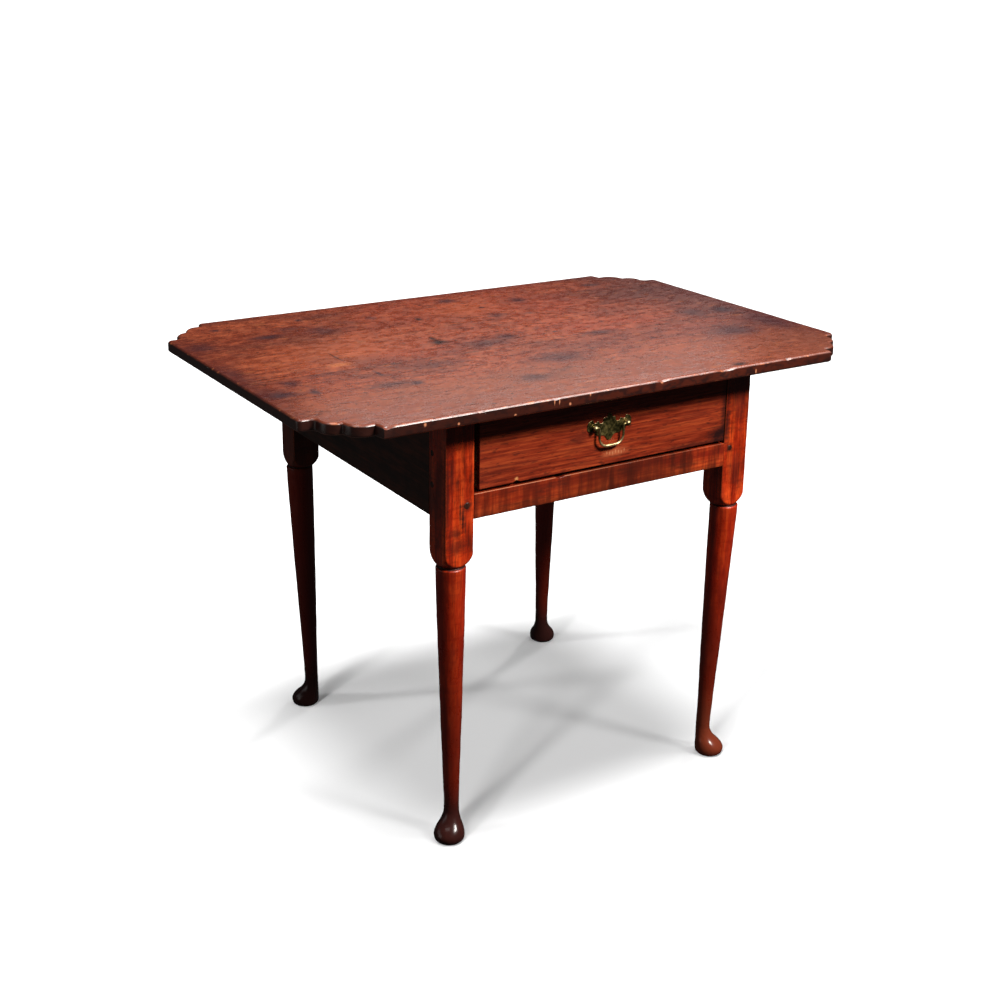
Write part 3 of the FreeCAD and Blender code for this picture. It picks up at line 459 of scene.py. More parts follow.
top_wood = Wood("aged_pine_top", "X", [(0.18, 0.027, 0.0115), (0.34, 0.063, 0.0235), (0.49, 0.112, 0.042)],
                figure=9, shares=(0.28, 0.32, 0.4), mottling=(48, 64))
tree = top_wood.tree
top_wood.height = top_wood.blend([(top_wood.fibre, 0.6), (top_wood.mottle, 0.35)])


def mark_top(x, y, along, across, *how):
    """Lay a mark on the upper face: its place, its reach, and how it looks."""
    top_wood.mark((x, y, TOP_FACE), (along, across, 1), *how)


# Smoky blotches drawn out along the boards, finer mottling, short dark checks, pits and pale scuffs.
smoke = fade(tree, top_wood.streaks(6, 9, 4.0, 0.6), 0.48, 0.7)
top_wood.lay(smoke, (0.07, 0.022, 0.02), 0.74)
reddening = fade(tree, cloud(tree, top_wood.place, (2.2, 3.4, 1), 2.0), 0.42, 0.62)
top_wood.lay(reddening, (0.36, 0.054, 0.026), 0.4)
haze = fade(tree, cloud(tree, top_wood.place, (34, 44, 44), 4.0, 0.65, 0.5), 0.49, 0.65)
top_wood.lay(haze, (0.11, 0.024, 0.016), 0.42)
flour = fade(tree, cloud(tree, top_wood.place, (250, 290, 1), 2.0, 0.7, 0.6), 0.42, 0.6)
top_wood.lay(flour, (0.12, 0.022, 0.012), 0.55)
dust = fade(tree, cloud(tree, top_wood.place, (130, 210, 1), 3.0, 0.7, 0.3), 0.54, 0.66)
top_wood.lay(dust, (0.6, 0.19, 0.09), 0.22)
# Warm patches left of the middle and towards the back, dusky patches across the middle, darker
# towards the right end, and a darker, duller band along the front.
WARM = [(-0.27, 0.05, 0.22, 0.13), (0.04, 0.2, 0.12, 0.1)]
DUSK = [(0.1, -0.1, 0.24, 0.08, 0.62), (0.34, -0.12, 0.18, 0.09, 0.6), (0.36, 0.16, 0.18, 0.14, 0.35),
        (-0.03, -0.01, 0.1, 0.05, 0.45), (-0.47, -0.06, 0.07, 0.18, 0.45)]
for x, y, along, across in WARM:
    mark_top(x, y, along, across, (0.6, 0.14, 0.05), 0.35, 0.35, 1.2)
for x, y, along, across, strength in DUSK:
    mark_top(x, y, along, across, (0.085, 0.024, 0.022), strength, 0.35, 1.2)
right_end = fade(tree, top_wood.axis("X"), 0.24, 0.45)
top_wood.lay(right_end, (0.08, 0.026, 0.024), 0.78)
darker_front_band = fade(tree, top_wood.axis("Y"), -0.08, -0.24)
top_wood.lay(darker_front_band, (0.2, 0.057, 0.03), 0.6)
crowd = fade(tree, top_wood.streaks(6, 14, 3.0, 0.6), 0.42, 0.62, 0.1, 1.0)
for along, across, start, strength in ((40, 110, 0.6, 0.5), (80, 190, 0.61, 0.55), (20, 240, 0.62, 0.5)):
    checks = fade(tree, top_wood.streaks(along, across, 2.0, 0.55), start, start + 0.09)
    top_wood.lay(both(tree, checks, crowd), (0.05, 0.014, 0.012), strength)
    top_wood.sink(checks, 0.5)
pits = fade(tree, cloud(tree, top_wood.place, (120, 150, 1), 1.0, 0.5, 0.9), 0.69, 0.76)
top_wood.lay(pits, KNOT, 0.8)
scuffs = fade(tree, top_wood.streaks(34, 90, 3.0, 0.6), 0.58, 0.7)
top_wood.lay(scuffs, AMBER, 0.2)
# Knots and stains: place along X and Y, reach along X and Y, strength.
TOP_MARKS = [
    (-0.112, 0.024, 0.017, 0.019, 1.0), (-0.11, 0.048, 0.005, 0.012, 0.95),
    (-0.067, 0.17, 0.007, 0.01, 0.95), (-0.331, 0.18, 0.032, 0.016, 0.75),
    (-0.239, 0.18, 0.028, 0.026, 0.62), (-0.281, 0.21, 0.03, 0.016, 0.5),
    (-0.447, 0.166, 0.026, 0.03, 0.65), (0.041, 0.265, 0.024, 0.018, 0.75),
    (0.155, 0.209, 0.018, 0.022, 0.7), (0.063, 0.134, 0.022, 0.018, 0.65),
    (0.0, 0.003, 0.022, 0.018, 0.72), (-0.053, -0.02, 0.05, 0.026, 0.6),
    (0.148, -0.046, 0.038, 0.014, 0.72), (0.426, -0.018, 0.028, 0.028, 0.85),
    (0.366, -0.008, 0.034, 0.034, 0.62), (0.445, -0.118, 0.034, 0.08, 0.65),
    (0.004, -0.145, 0.06, 0.034, 0.62), (-0.091, -0.216, 0.03, 0.018, 0.62),
    (-0.447, -0.124, 0.03, 0.018, 0.9), (-0.398, -0.131, 0.01, 0.016, 0.85),
    (-0.412, -0.075, 0.02, 0.018, 0.7), (-0.289, -0.148, 0.044, 0.02, 0.62),
    (-0.253, -0.159, 0.012, 0.01, 0.85), (0.348, -0.145, 0.05, 0.036, 0.65),
    (0.197, -0.117, 0.006, 0.006, 0.9), (0.341, 0.251, 0.026, 0.014, 0.75),
    (-0.243, 0.258, 0.008, 0.008, 0.8), (-0.387, 0.258, 0.01, 0.008, 0.8),
    (-0.13, 0.215, 0.011, 0.011, 0.6), (0.07, 0.194, 0.006, 0.006, 0.9), (0.19, 0.01, 0.005, 0.005, 0.9),
    (0.085, -0.007, 0.006, 0.004, 0.9), (-0.278, -0.088, 0.004, 0.018, 0.85),
    (0.25, 0.06, 0.07, 0.03, 0.35), (-0.18, -0.09, 0.06, 0.02, 0.4), (-0.355, -0.06, 0.05, 0.012, 0.45),
    (0.217, -0.303, 0.016, 0.009, 0.95), (-0.462, 0.01, 0.02, 0.05, 0.55),
]
MARK_SPREAD = 1.35
for x, y, along, across, strength in TOP_MARKS:
    mark_top(x, y, along * MARK_SPREAD, across * MARK_SPREAD,
             KNOT if strength > 0.9 else SMOKE, min(1.0, strength * 1.08), 0.45, 0.95)
# The long seam and the splits that wander beside it towards the left end.
mark_top(0, TOP_SEAM, 9, 0.0012, KNOT, 0.85, 0.2, 0.4)
SPLITS = [
    (-0.43, -0.041, 0.06, 0.0016), (-0.35, -0.02, 0.055, 0.0014), (-0.29, -0.06, 0.04, 0.0016),
    (-0.03, -0.012, 0.12, 0.0014), (0.15, -0.06, 0.09, 0.0014), (-0.42, -0.15, 0.05, 0.0016),
    (-0.35, 0.06, 0.06, 0.0013), (0.05, 0.11, 0.07, 0.0013), (0.08, -0.04, 0.08, 0.0014),
    (-0.264, -0.15, 0.045, 0.0018),
]
for x, y, along, across in SPLITS:
    mark_top(x, y, along, across, KNOT, 0.8, 0.5, 0.7)
# A scratch across the grain with a rubbed patch at its end.
mark_top(-0.292, 0.02, 0.0018, 0.036, KNOT, 0.85, 0.3, 0.5)
mark_top(-0.306, -0.02, 0.026, 0.014, AMBER, 0.6, 0.8, 0.9)
# The back and end edges have gone dark from handling, with bright rubs where the arris is bare.
edge_near = sums(tree, "MAXIMUM",
                 fade(tree, sums(tree, "ABSOLUTE", top_wood.axis("X")), 0.425, 0.476),
                 fade(tree, top_wood.axis("Y"), 0.28, 0.32))
top_wood.lay(edge_near, (0.085, 0.014, 0.012), 0.5)
# The sawn sides are laid darker than the top face, with a cloud of grime over them; the scalloped corners
# are darker still, partly grime and partly painted shade.
upright = sums(tree, "ABSOLUTE", add_node(tree, "SeparateXYZ", {
    0: add_node(tree, "NewGeometry").outputs["Normal"]}).outputs["Z"])
sides = fade(tree, upright, 0.75, 0.35)
top_wood.lay(sides, (0.058, 0.009, 0.004), 0.93)
scallops = both(tree, sides, fade(tree, sums(tree, "ABSOLUTE", top_wood.axis("X")), 0.33, 0.41))
top_wood.lay(scallops, (0.04, 0.009, 0.005), 0.8)
grime = fade(tree, cloud(tree, top_wood.place, (60, 60, 90), 4.0, 0.65), 0.45, 0.6)
top_wood.lay(both(tree, sides, grime), (0.02, 0.006, 0.005), 0.85)
rounded = both(tree, fade(tree, upright, 0.975, 0.93), fade(tree, upright, 0.25, 0.45))
bare = fade(tree, cloud(tree, top_wood.place, (70, 70, 70), 3.0, 0.6), 0.56, 0.66)
top_wood.lay(both(tree, rounded, bare), (0.6, 0.18, 0.07), 0.7)
# Painted shade on the sides towards the left end.
left_sides_painted_shade = both(tree, sides, fade(tree, top_wood.axis("X"), 0.02, -0.28))
top_wood.lay(left_sides_painted_shade, (0.024, 0.007, 0.005), 0.6)
# Small fresh chips and scratches along the front edge: along X, height, half width, half height.
EDGE_NICKS = [
    (-0.331, 0.6795, 0.003, 0.0034), (-0.28, 0.673, 0.0022, 0.0026), (-0.191, 0.6715, 0.0028, 0.0022),
    (-0.127, 0.68, 0.0012, 0.006), (-0.119, 0.68, 0.001, 0.006), (-0.101, 0.6742, 0.0026, 0.003),
    (-0.067, 0.683, 0.0014, 0.004), (0.06, 0.683, 0.004, 0.004), (0.237, 0.6747, 0.0016, 0.005),
]
for x, z, wide, high in EDGE_NICKS:
    nick = spot(tree, top_wood.place, (x, -TOP_WIDTH / 2, z), (wide, 1, high), 0.5, 0.7)
    top_wood.lay(both(tree, nick, sides), (0.78, 0.3, 0.15), 0.85)
top_wood.gloss = fade(tree, top_wood.mottle, 0.4, 0.6, 0.22, 0.38)
top_wood.polish(sides, 0.28)
top_wood.polish(scallops, 0.3)
top_wood.polish(rounded, 0.32)
top_finish = top_wood.finish(bump=0.22, depth=0.001, specular=0.8)

for name, side in (("top_board_front", -1), ("top_board_back", 1)):
    board = scalloped_board(name, side)
    smooth(board, 40)
    board.data.materials.append(top_finish)
    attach(board, "root")
    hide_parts(name)


# Legs.  Each is one length of maple: a square post, a turned neck, a shaft turned about a second
# centre so that it tapers down and in, and a pad foot left full at the outer corner.
FRAME_X, FRAME_Y = 0.2715, 0.27
POST = 0.046
POST_TOP = 0.668
POST_ARRIS = 0.0018
NECK_HEIGHT = 0.443
SHOULDER_RADIUS, SHOULDER_IN, SHOULDER_UP, SHOULDER_SOFT = 0.033, -0.00025, 0.02525, 0.00035
END_KEPT = 0.002
RING = 96
CORNER_CROWD = 0.19
# How close the rings stand: from one height down to the next, and their step.
LEVELS = [(POST_TOP, 0.47, 0.0075), (0.47, NECK_HEIGHT, 0.0013), (NECK_HEIGHT, 0.437, 0.0007),
          (0.437, 0.054, 0.011), (0.054, 0.004, 0.002), (0.004, 0.0, 0.0007)]
# Height, radius and how far the centre stands out towards the corner, per side.
TURNED = [(0.443, 0.0208, 0.0), (0.4412, 0.0196, 0.0008), (0.4396, 0.0212, 0.0018),
          (0.438, 0.0219, 0.002), (0.35, 0.0199, 0.0), (0.262, 0.0174, -0.002),
          (0.18, 0.015, -0.0039), (0.11, 0.0126, -0.0054), (0.07, 0.0115, -0.0063),
          (0.05, 0.0113, -0.0068), (0.0391, 0.0121, -0.0062), (0.0289, 0.0153, -0.004),
          (0.02, 0.0202, -0.0005), (0.011, 0.023, 0.0015), (0.0033, 0.0219, 0.0015),
          (0.0, 0.0186, 0.0015)]


def turned_at(height):
    """Radius and offset of the turned part at a height, by a smooth curve through the table."""
    last = len(TURNED) - 1
    lower = next(i for i in range(1, last + 1) if TURNED[i][0] <= height + 1e-9)
    z1, z0 = TURNED[lower - 1][0], TURNED[lower][0]
    share = (z1 - height) / (z1 - z0)
    found = []
    for column in (1, 2):
        a, b = TURNED[lower - 1][column], TURNED[lower][column]
        slopes = []
        for index in (lower - 1, lower):
            before, after = TURNED[max(index - 1, 0)], TURNED[min(index + 1, last)]
            slopes.append((after[column] - before[column]) / (before[0] - after[0]) * (z1 - z0))
        found.append((2 * share**3 - 3 * share**2 + 1) * a + (3 * share**2 - 2 * share**3) * b
                     + (share**3 - 2 * share**2 + share) * slopes[0] + (share**3 - share**2) * slopes[1])
    return found


def ring_point(angle, height):
    """Where the leg's skin lies at an angle and height, from the post's own middle."""
    if height < NECK_HEIGHT - CLOSE:
        radius, offset = turned_at(height)
        return offset + radius * math.cos(angle), offset + radius * math.sin(angle)
    c, s = abs(math.cos(angle)), abs(math.sin(angle))
    half = POST / 2
    inner = half - POST_ARRIS
    square = half / max(c, s)
    if min(c, s) * square > inner:
        square = inner * (c + s) + math.sqrt(max(POST_ARRIS**2 - (inner * (s - c)) ** 2, 0))
    up = height - NECK_HEIGHT
    turned = SHOULDER_IN + math.sqrt(max(SHOULDER_RADIUS**2 - (min(up, SHOULDER_UP) - SHOULDER_UP) ** 2, 0))
    if turned - square < 12 * SHOULDER_SOFT and up < SHOULDER_UP:
        square = -SHOULDER_SOFT * math.log(math.exp(-square / SHOULDER_SOFT)
                                           + math.exp(-turned / SHOULDER_SOFT))
    return square * math.cos(angle), square * math.sin(angle)


bpy.ops.mesh.primitive_circle_add(vertices=RING, radius=POST / 2, location=(0, 0, POST_TOP))
leg = bpy.context.object
leg.name = "leg_pattern"
bpy.ops.object.transform_apply(location=True)
bpy.ops.object.mode_set(mode="EDIT")
bpy.ops.mesh.edge_face_add()
level = POST_TOP
for high, low, step in LEVELS:
    count = max(1, round((high - low) / step))
    for i in range(1, count + 1):
        height = high + (low - high) * i / count
        bpy.ops.mesh.extrude_region_move(TRANSFORM_OT_translate={"value": (0, 0, height - level)})
        level = height
bpy.ops.object.mode_set(mode="OBJECT")
for point in leg.data.vertices:
    angle = math.atan2(point.co.y, point.co.x)
    angle += CORNER_CROWD * math.sin(4 * angle)
    point.co.x, point.co.y = ring_point(angle, point.co.z)
edit(leg)
bpy.ops.mesh.select_all(action="SELECT")
bpy.ops.mesh.normals_make_consistent(inside=False)
bpy.ops.object.mode_set(mode="OBJECT")

maple = Wood("worn_maple_leg", "Z", [(0.3, 0.014, 0.0028), (0.58, 0.041, 0.006), (0.82, 0.088, 0.0125)],
             figure=60)
tree = maple.tree
height = maple.axis("Z")
curl = cloud(tree, maple.place, (25, 25, 150), 2.0, 0.5)
maple.lay(fade(tree, curl, 0.52, 0.66), (0.2, 0.01, 0.002), 0.35)
for along, across, start, strength in ((22, 520, 0.56, 0.5), (60, 700, 0.57, 0.55), (8, 130, 0.54, 0.38)):
    pores = fade(tree, maple.streaks(along, across, 3.0, 0.6), start, start + 0.09)
    maple.lay(pores, (0.055, 0.008, 0.003), strength)
grime = fade(tree, maple.streaks(9, 45, 5.0, 0.65), 0.52, 0.66)
maple.lay(grime, (0.06, 0.009, 0.004), 0.6)
smudge = fade(tree, maple.streaks(5, 18, 4.0, 0.6), 0.5, 0.66)
maple.lay(smudge, (0.085, 0.009, 0.004), 0.64)
# Painted shade: the back legs, which lie in the top's shadow, and the posts up under the top.
behind = fade(tree, maple.axis("Y"), 0.1, 0.2)
maple.lay(behind, (0.026, 0.009, 0.004), 0.8)
under_top_painted_shade = fade(tree, height, 0.595, 0.66)
maple.lay(under_top_painted_shade, (0.06, 0.01, 0.004), 0.6)
redder = fade(tree, height, 0.452, 0.43)
maple.lay(redder, (0.27, 0.009, 0.002), 0.52)
# The shaft is laid darker downwards, partly a deeper finish and partly painted shade where the light
# falls off towards the floor, and almost black at the foot; the right front foot is laid lighter.
down = fade(tree, height, 0.4, 0.16)
maple.lay(down, (0.1, 0.009, 0.003), 0.72)
low_down = fade(tree, height, 0.1, 0.035)
maple.lay(low_down, (0.022, 0.009, 0.008), 0.9)
front_right = both(tree, fade(tree, maple.axis("X"), 0.1, 0.2), fade(tree, maple.axis("Y"), -0.1, -0.2))
lighter_foot = both(tree, front_right, fade(tree, height, 0.15, 0.05))
maple.lay(lighter_foot, (0.2, 0.035, 0.014), 0.8)
maple.gloss = fade(tree, maple.mottle, 0.38, 0.62, 0.26, 0.42)
# The scribed ring at the neck is laid almost black: grime in the groove and painted shade.
scribed = both(tree, fade(tree, height, 0.4396, 0.4404), fade(tree, height, 0.4445, 0.4425))
maple.lay(scribed, (0.012, 0.004, 0.003), 0.9)
maple.polish(scribed, 0.7)
maple.polish(low_down, 0.24)
# Painted shade on the posts' inner faces, in the gap beside the drawer.
inside = both(tree, fade(tree, sums(tree, "ABSOLUTE", maple.axis("X")), 0.2263, 0.2258),
              fade(tree, height, 0.546, 0.55))
maple.lay(inside, (0.02, 0.007, 0.004), 0.95)
# Dark bruises on the front posts, a check below the left peg, and painted shade under the top on the
# right post and down the left post's left edge: place along X and Z, reach along X and Z, strength.
LEG_MARKS = [
    (-0.2435, 0.515, 0.0026, 0.018, 0.95), (-0.256, 0.497, 0.011, 0.01, 0.65),
    (-0.237, 0.534, 0.0078, 0.0086, 0.9), (0.237, 0.54, 0.007, 0.007, 0.8),
    (-0.262, 0.59, 0.004, 0.03, 0.5), (-0.252, 0.57, 0.003, 0.01, 0.6), (0.262, 0.478, 0.008, 0.01, 0.3),
    (-0.248, 0.528, 0.0018, 0.02, 0.85), (-0.25, 0.476, 0.024, 0.014, 0.7),
    (-0.269, 0.56, 0.004, 0.08, 0.7), (-0.24, 0.505, 0.0014, 0.016, 0.85),
    (0.229, 0.58, 0.006, 0.05, 0.85), (0.248, 0.5, 0.024, 0.03, 0.35), (0.25, 0.62, 0.026, 0.055, 0.62),
]
BRUISE_SPREAD = 1.4
for x, z, wide, high, strength in LEG_MARKS:
    reach = (wide * BRUISE_SPREAD, 1, high * BRUISE_SPREAD)
    maple.mark((x, -FRAME_Y, z), reach, (0.03, 0.008, 0.006), strength)
on_post = fade(tree, height, 0.455, 0.475)
edge_rub = both(tree, maple.arris(), on_post)
maple.lay(edge_rub, (0.5, 0.085, 0.025), 0.35)
maple_finish = maple.finish(bump=0.25, depth=0.0008, specular=0.32, coat=0.16, coat_roughness=0.16)

for quarter, name in enumerate(("leg_back_right", "leg_back_left", "leg_front_left", "leg_front_right")):
    out_x = 1 if quarter in (0, 3) else -1
    out_y = 1 if quarter in (0, 1) else -1
    copy = leg.copy()
    copy.data = leg.data.copy()
    copy.name = f"turned_{name}"
    bpy.context.scene.collection.objects.link(copy)
    copy.data.transform(Matrix.Translation((out_x * (FRAME_X - POST / 2), out_y * (FRAME_Y - POST / 2), 0))
                        @ Matrix.Rotation(quarter * math.pi / 2, 4, "Z"))
    for mark, depth, size in (("turning_marks", 0.0009, 0.018), ("small_dents", 0.0004, 0.004)):
        wear(copy, mark, depth, size, lambda point: END_KEPT < point.z < POST_TOP - END_KEPT)
    smooth(copy, 45)
    copy.data.materials.append(maple_finish)
    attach(copy, "root")
    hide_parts(name)
bpy.data.objects.remove(leg)


# Aprons and drawer rail.  Planed boards between the posts, tenoned and pegged: pine at the sides
# and back, laid almost black, and a curly maple rail under the drawer.
BOARD_PITCH = 0.006


def planed_board(name, low, high, arris, worn):
    """A board between two corners, divided along its length, with worn arrises."""
    size = high - low
    bpy.ops.mesh.primitive_cube_add(size=1, location=(low + high) / 2, scale=size)
    board = bpy.context.object
    board.name = name
    bpy.ops.object.transform_apply(location=True, scale=True)
    length = max(range(3), key=lambda axis: size[axis])
    edit(board)
    pick_edges(board, lambda a, b: abs(a[length] - b[length]) > size[length] / 2)
    bpy.ops.mesh.subdivide(number_cuts=round(size[length] / BOARD_PITCH))
    pick_edges(board, lambda a, b: sum(abs(a[i] - b[i]) < CLOSE and abs(abs(a[i] - low[i] - size[i] / 2)
               - size[i] / 2) < CLOSE for i in range(3)) == 2)
    bpy.ops.mesh.bevel(offset=arris, segments=3, affect="EDGES")
    bpy.ops.object.mode_set(mode="OBJECT")
    wear(board, f"{name}_wear", worn, 0.014)
    smooth(board, 40)
    return board


dark_pine = Wood("dark_pine_apron", "Y", [(0.014, 0.006, 0.004), (0.035, 0.011, 0.006),
                                          (0.075, 0.018, 0.008)], figure=20)
dark_pine.lay(dark_pine.arris(), (0.12, 0.03, 0.012), 0.5)
side_finish = dark_pine.finish(bump=0.4, depth=0.0012, specular=0.3)
back_pine = Wood("dark_pine_back", "X", [(0.025, 0.008, 0.004), (0.06, 0.015, 0.007),
                                         (0.12, 0.028, 0.011)], figure=20)
back_pine.lay(back_pine.arris(), (0.16, 0.04, 0.015), 0.5)
back_finish = back_pine.finish(bump=0.4, depth=0.0012, specular=0.3)
APRON_THICK, APRON_BOTTOM = 0.022, 0.512
BETWEEN_X, BETWEEN_Y = FRAME_X - POST, FRAME_Y - POST
APRONS = {
    "apron_left": ((-FRAME_X, -BETWEEN_Y), (APRON_THICK - FRAME_X, BETWEEN_Y), side_finish),
    "apron_right": ((FRAME_X - APRON_THICK, -BETWEEN_Y), (FRAME_X, BETWEEN_Y), side_finish),
    "apron_back": ((-BETWEEN_X, FRAME_Y - APRON_THICK), (BETWEEN_X, FRAME_Y), back_finish),
}
for name, (near, far, finish) in APRONS.items():
    board = planed_board(f"planed_{name}", Vector((*near, APRON_BOTTOM)), Vector((*far, POST_TOP)),
                         arris=0.0012, worn=0.0006)
    board.data.materials.append(finish)
    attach(board, "root")
    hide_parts(name)

RAIL_DEPTH, RAIL_TOP = 0.03, 0.549
curly = Wood("curly_maple_rail", "X", [(0.27, 0.019, 0.006), (0.49, 0.05, 0.011), (0.74, 0.104, 0.021)],
             figure=50)
tree = curly.tree
curl = cloud(tree, curly.place, (190, 25, 9), 2.0, 0.5)
curly.lay(fade(tree, curl, 0.45, 0.6), (0.11, 0.01, 0.004), 0.38)
ripple = cloud(tree, curly.place, (60, 16, 9), 4.0, 0.62)
curly.lay(fade(tree, ripple, 0.4, 0.62), (0.06, 0.008, 0.004), 0.78)
middle_shade = fade(tree, sums(tree, "ABSOLUTE", sums(tree, "SUBTRACT", curly.axis("X"), 0.035)), 0.19, 0.04)
curly.lay(middle_shade, (0.05, 0.009, 0.005), 0.72)
left_shade = fade(tree, curly.axis("X"), 0.03, -0.16)
curly.lay(left_shade, (0.16, 0.014, 0.004), 0.45)
foot_dark = fade(tree, curly.axis("Z"), 0.522, 0.512)
curly.lay(foot_dark, (0.045, 0.008, 0.004), 0.6)
grime = fade(tree, curly.streaks(12, 60, 5.0, 0.65), 0.52, 0.68)
curly.lay(grime, (0.05, 0.01, 0.006), 0.6)
# A light line along the upper front arris, partly worn wood and partly painted highlight, stronger to the
# left.
top_edge = fade(tree, curly.axis("Z"), 0.5479, 0.5487)
front_edge = fade(tree, curly.axis("Y"), -0.2675, -0.269)
stronger_to_left = fade(tree, curly.axis("X"), 0.06, -0.1, 0.25, 1.0)
arris_wear_and_highlight = both(tree, both(tree, top_edge, front_edge), stronger_to_left)
curly.lay(arris_wear_and_highlight, (0.66, 0.22, 0.09), 0.6)
rail_finish = curly.finish(bump=0.25, depth=0.0008, specular=0.25, coat=0.1)
rail = planed_board("planed_drawer_rail", Vector((-BETWEEN_X, -FRAME_Y, APRON_BOTTOM)),
                    Vector((BETWEEN_X, RAIL_DEPTH - FRAME_Y, RAIL_TOP)), arris=0.001, worn=0.0004)
# The drawer has knocked a nick out of the rail's upper arris, left of the middle.
chip(rail, (-0.081, -FRAME_Y, RAIL_TOP), 0.0075, (0, 0.0016, -0.0022), 1.8)
rail.data.materials.append(rail_finish)
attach(rail, "root")
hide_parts("drawer_rail")


# Joint pegs.  Oak, riven and whittled to eight sides, driven through each mortise and cut off;
# the posts have shrunk a little, so the dark end grain stands proud.
PEG_RADIUS, PEG_LENGTH, PEG_PROUD = 0.0051, 0.038, 0.0005
PEG_XS, PEG_YS = 0.2345, 0.233
LOW_PEG, HIGH_PEG, BACK_LIFT = 0.56, 0.606, 0.0144


def whittled_pegs(name, places, towards):
    """Pegs driven from the places given along an axis, as one piece."""
    pegs = []
    turn_to = Vector((0, 0, 1)).rotation_difference(-Vector(towards))
    for number, place in enumerate(places):
        bpy.ops.mesh.primitive_cylinder_add(vertices=8, radius=PEG_RADIUS, depth=PEG_LENGTH,
                                            end_fill_type="NGON")
        peg = bpy.context.object
        edit(peg)
        bpy.ops.mesh.select_mode(type="FACE")
        bpy.ops.object.mode_set(mode="OBJECT")
        for face in peg.data.polygons:
            face.select = face.normal.z > 0.9
        bpy.ops.object.mode_set(mode="EDIT")
        bpy.ops.mesh.inset(thickness=PEG_RADIUS * 0.16)
        bpy.ops.transform.translate(value=(0, 0, PEG_PROUD))
        bpy.ops.mesh.inset(thickness=PEG_RADIUS * 0.3)
        bpy.ops.transform.translate(value=(0.0001, 0, PEG_PROUD * 0.3))
        bpy.ops.object.mode_set(mode="OBJECT")
        squeeze = 1 - 0.14 * ((number * 7) % 3) / 2
        peg.data.transform(Matrix.Translation(Vector(place) + Vector(towards) * PEG_LENGTH / 2)
                           @ turn_to.to_matrix().to_4x4()
                           @ Matrix.Rotation(0.3 + number * 1.1, 4, "Z")
                           @ Matrix.Diagonal((squeeze, 1, 1, 1)))
        pegs.append(peg)
    pick(*pegs)
    bpy.ops.object.join()
    pegs[0].name = f"whittled_{name}"
    return pegs[0]


oak = Wood("dark_oak_peg", "Z", [(0.012, 0.005, 0.004), (0.03, 0.01, 0.007), (0.06, 0.018, 0.01)], 300)
peg_finish = oak.finish(bump=0.5, depth=0.0006, specular=0.3)
BACK_LOW_PEG, BACK_HIGH_PEG = LOW_PEG + BACK_LIFT, HIGH_PEG + BACK_LIFT
PEGS = {
    "drawer_rail_pegs": ([(-0.237, -FRAME_Y, 0.534), (0.237, -FRAME_Y, 0.54)], (0, 1, 0)),
    "apron_left_pegs": ([(-FRAME_X, y, z) for y in (-PEG_YS, PEG_YS) for z in (LOW_PEG, HIGH_PEG)],
                        (1, 0, 0)),
    "apron_right_pegs": ([(FRAME_X, y, z) for y in (-PEG_YS, PEG_YS) for z in (LOW_PEG, HIGH_PEG)],
                         (-1, 0, 0)),
    "apron_back_pegs": ([(x, FRAME_Y, z) for x in (-PEG_XS, PEG_XS) for z in (BACK_LOW_PEG, BACK_HIGH_PEG)],
                        (0, -1, 0)),
}
for name, (places, towards) in PEGS.items():
    pegs = whittled_pegs(name, places, towards)
    pegs.data.materials.append(peg_finish)
    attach(pegs, "root")
    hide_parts(name)


# Runners, guides and glue blocks.  Plain pine inside the frame, never finished, gone grey-brown
# with age, and the wrought nails that hold them.
def dress(name, finish):
    """Give a solid of the frame its finish."""
    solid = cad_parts[name]
    solid.data.materials.clear()
    solid.data.materials.append(finish)


bare_y = Wood("bare_pine_along_y", "Y", [(0.16, 0.085, 0.04), (0.28, 0.16, 0.08), (0.4, 0.25, 0.135)], 40)
bare_y_finish = bare_y.finish(bump=0.5, depth=0.001)
for name in ("drawer_runner_left", "drawer_runner_right", "drawer_guide_left", "drawer_guide_right",
             "glue_blocks_left", "glue_blocks_right"):
    dress(name, bare_y_finish)


def metal(name, tones, metallic, roughness):
    """Worn metal: tones blended by a cloud, with a beaten surface."""
    finish = bpy.data.materials.new(name)
    finish.use_nodes = True
    tree = finish.node_tree
    place = add_node(tree, "TexCoord").outputs["Object"]
    patch = cloud(tree, place, (160, 160, 160), 4.0, 0.6)
    colour = ramp(tree, patch, [(0.35, tones[0]), (0.5, tones[1]), (0.65, tones[2])])
    shader = tree.nodes["Principled BSDF"]
    tree.links.new(colour, shader.inputs["Base Color"])
    tree.links.new(fade(tree, patch, 0.35, 0.65, roughness[0], roughness[1]), shader.inputs["Roughness"])
    dent = add_node(tree, "Bump", {"Strength": 0.3, "Distance": 0.0004,
                                   "Height": cloud(tree, place, (420, 420, 420), 3.0)})
    tree.links.new(dent.outputs["Normal"], shader.inputs["Normal"])
    shader.inputs["Metallic"].default_value = metallic
    return finish, tree, shader, colour


iron_finish = metal("rusty_iron", [(0.02, 0.012, 0.009), (0.045, 0.026, 0.018), (0.1, 0.045, 0.025)],
                    0.6, (0.55, 0.8))[0]
for name in ("runner_nails_left", "runner_nails_right", "guide_nails_left", "guide_nails_right",
             "drawer_bottom_nails"):
    dress(name, iron_finish)


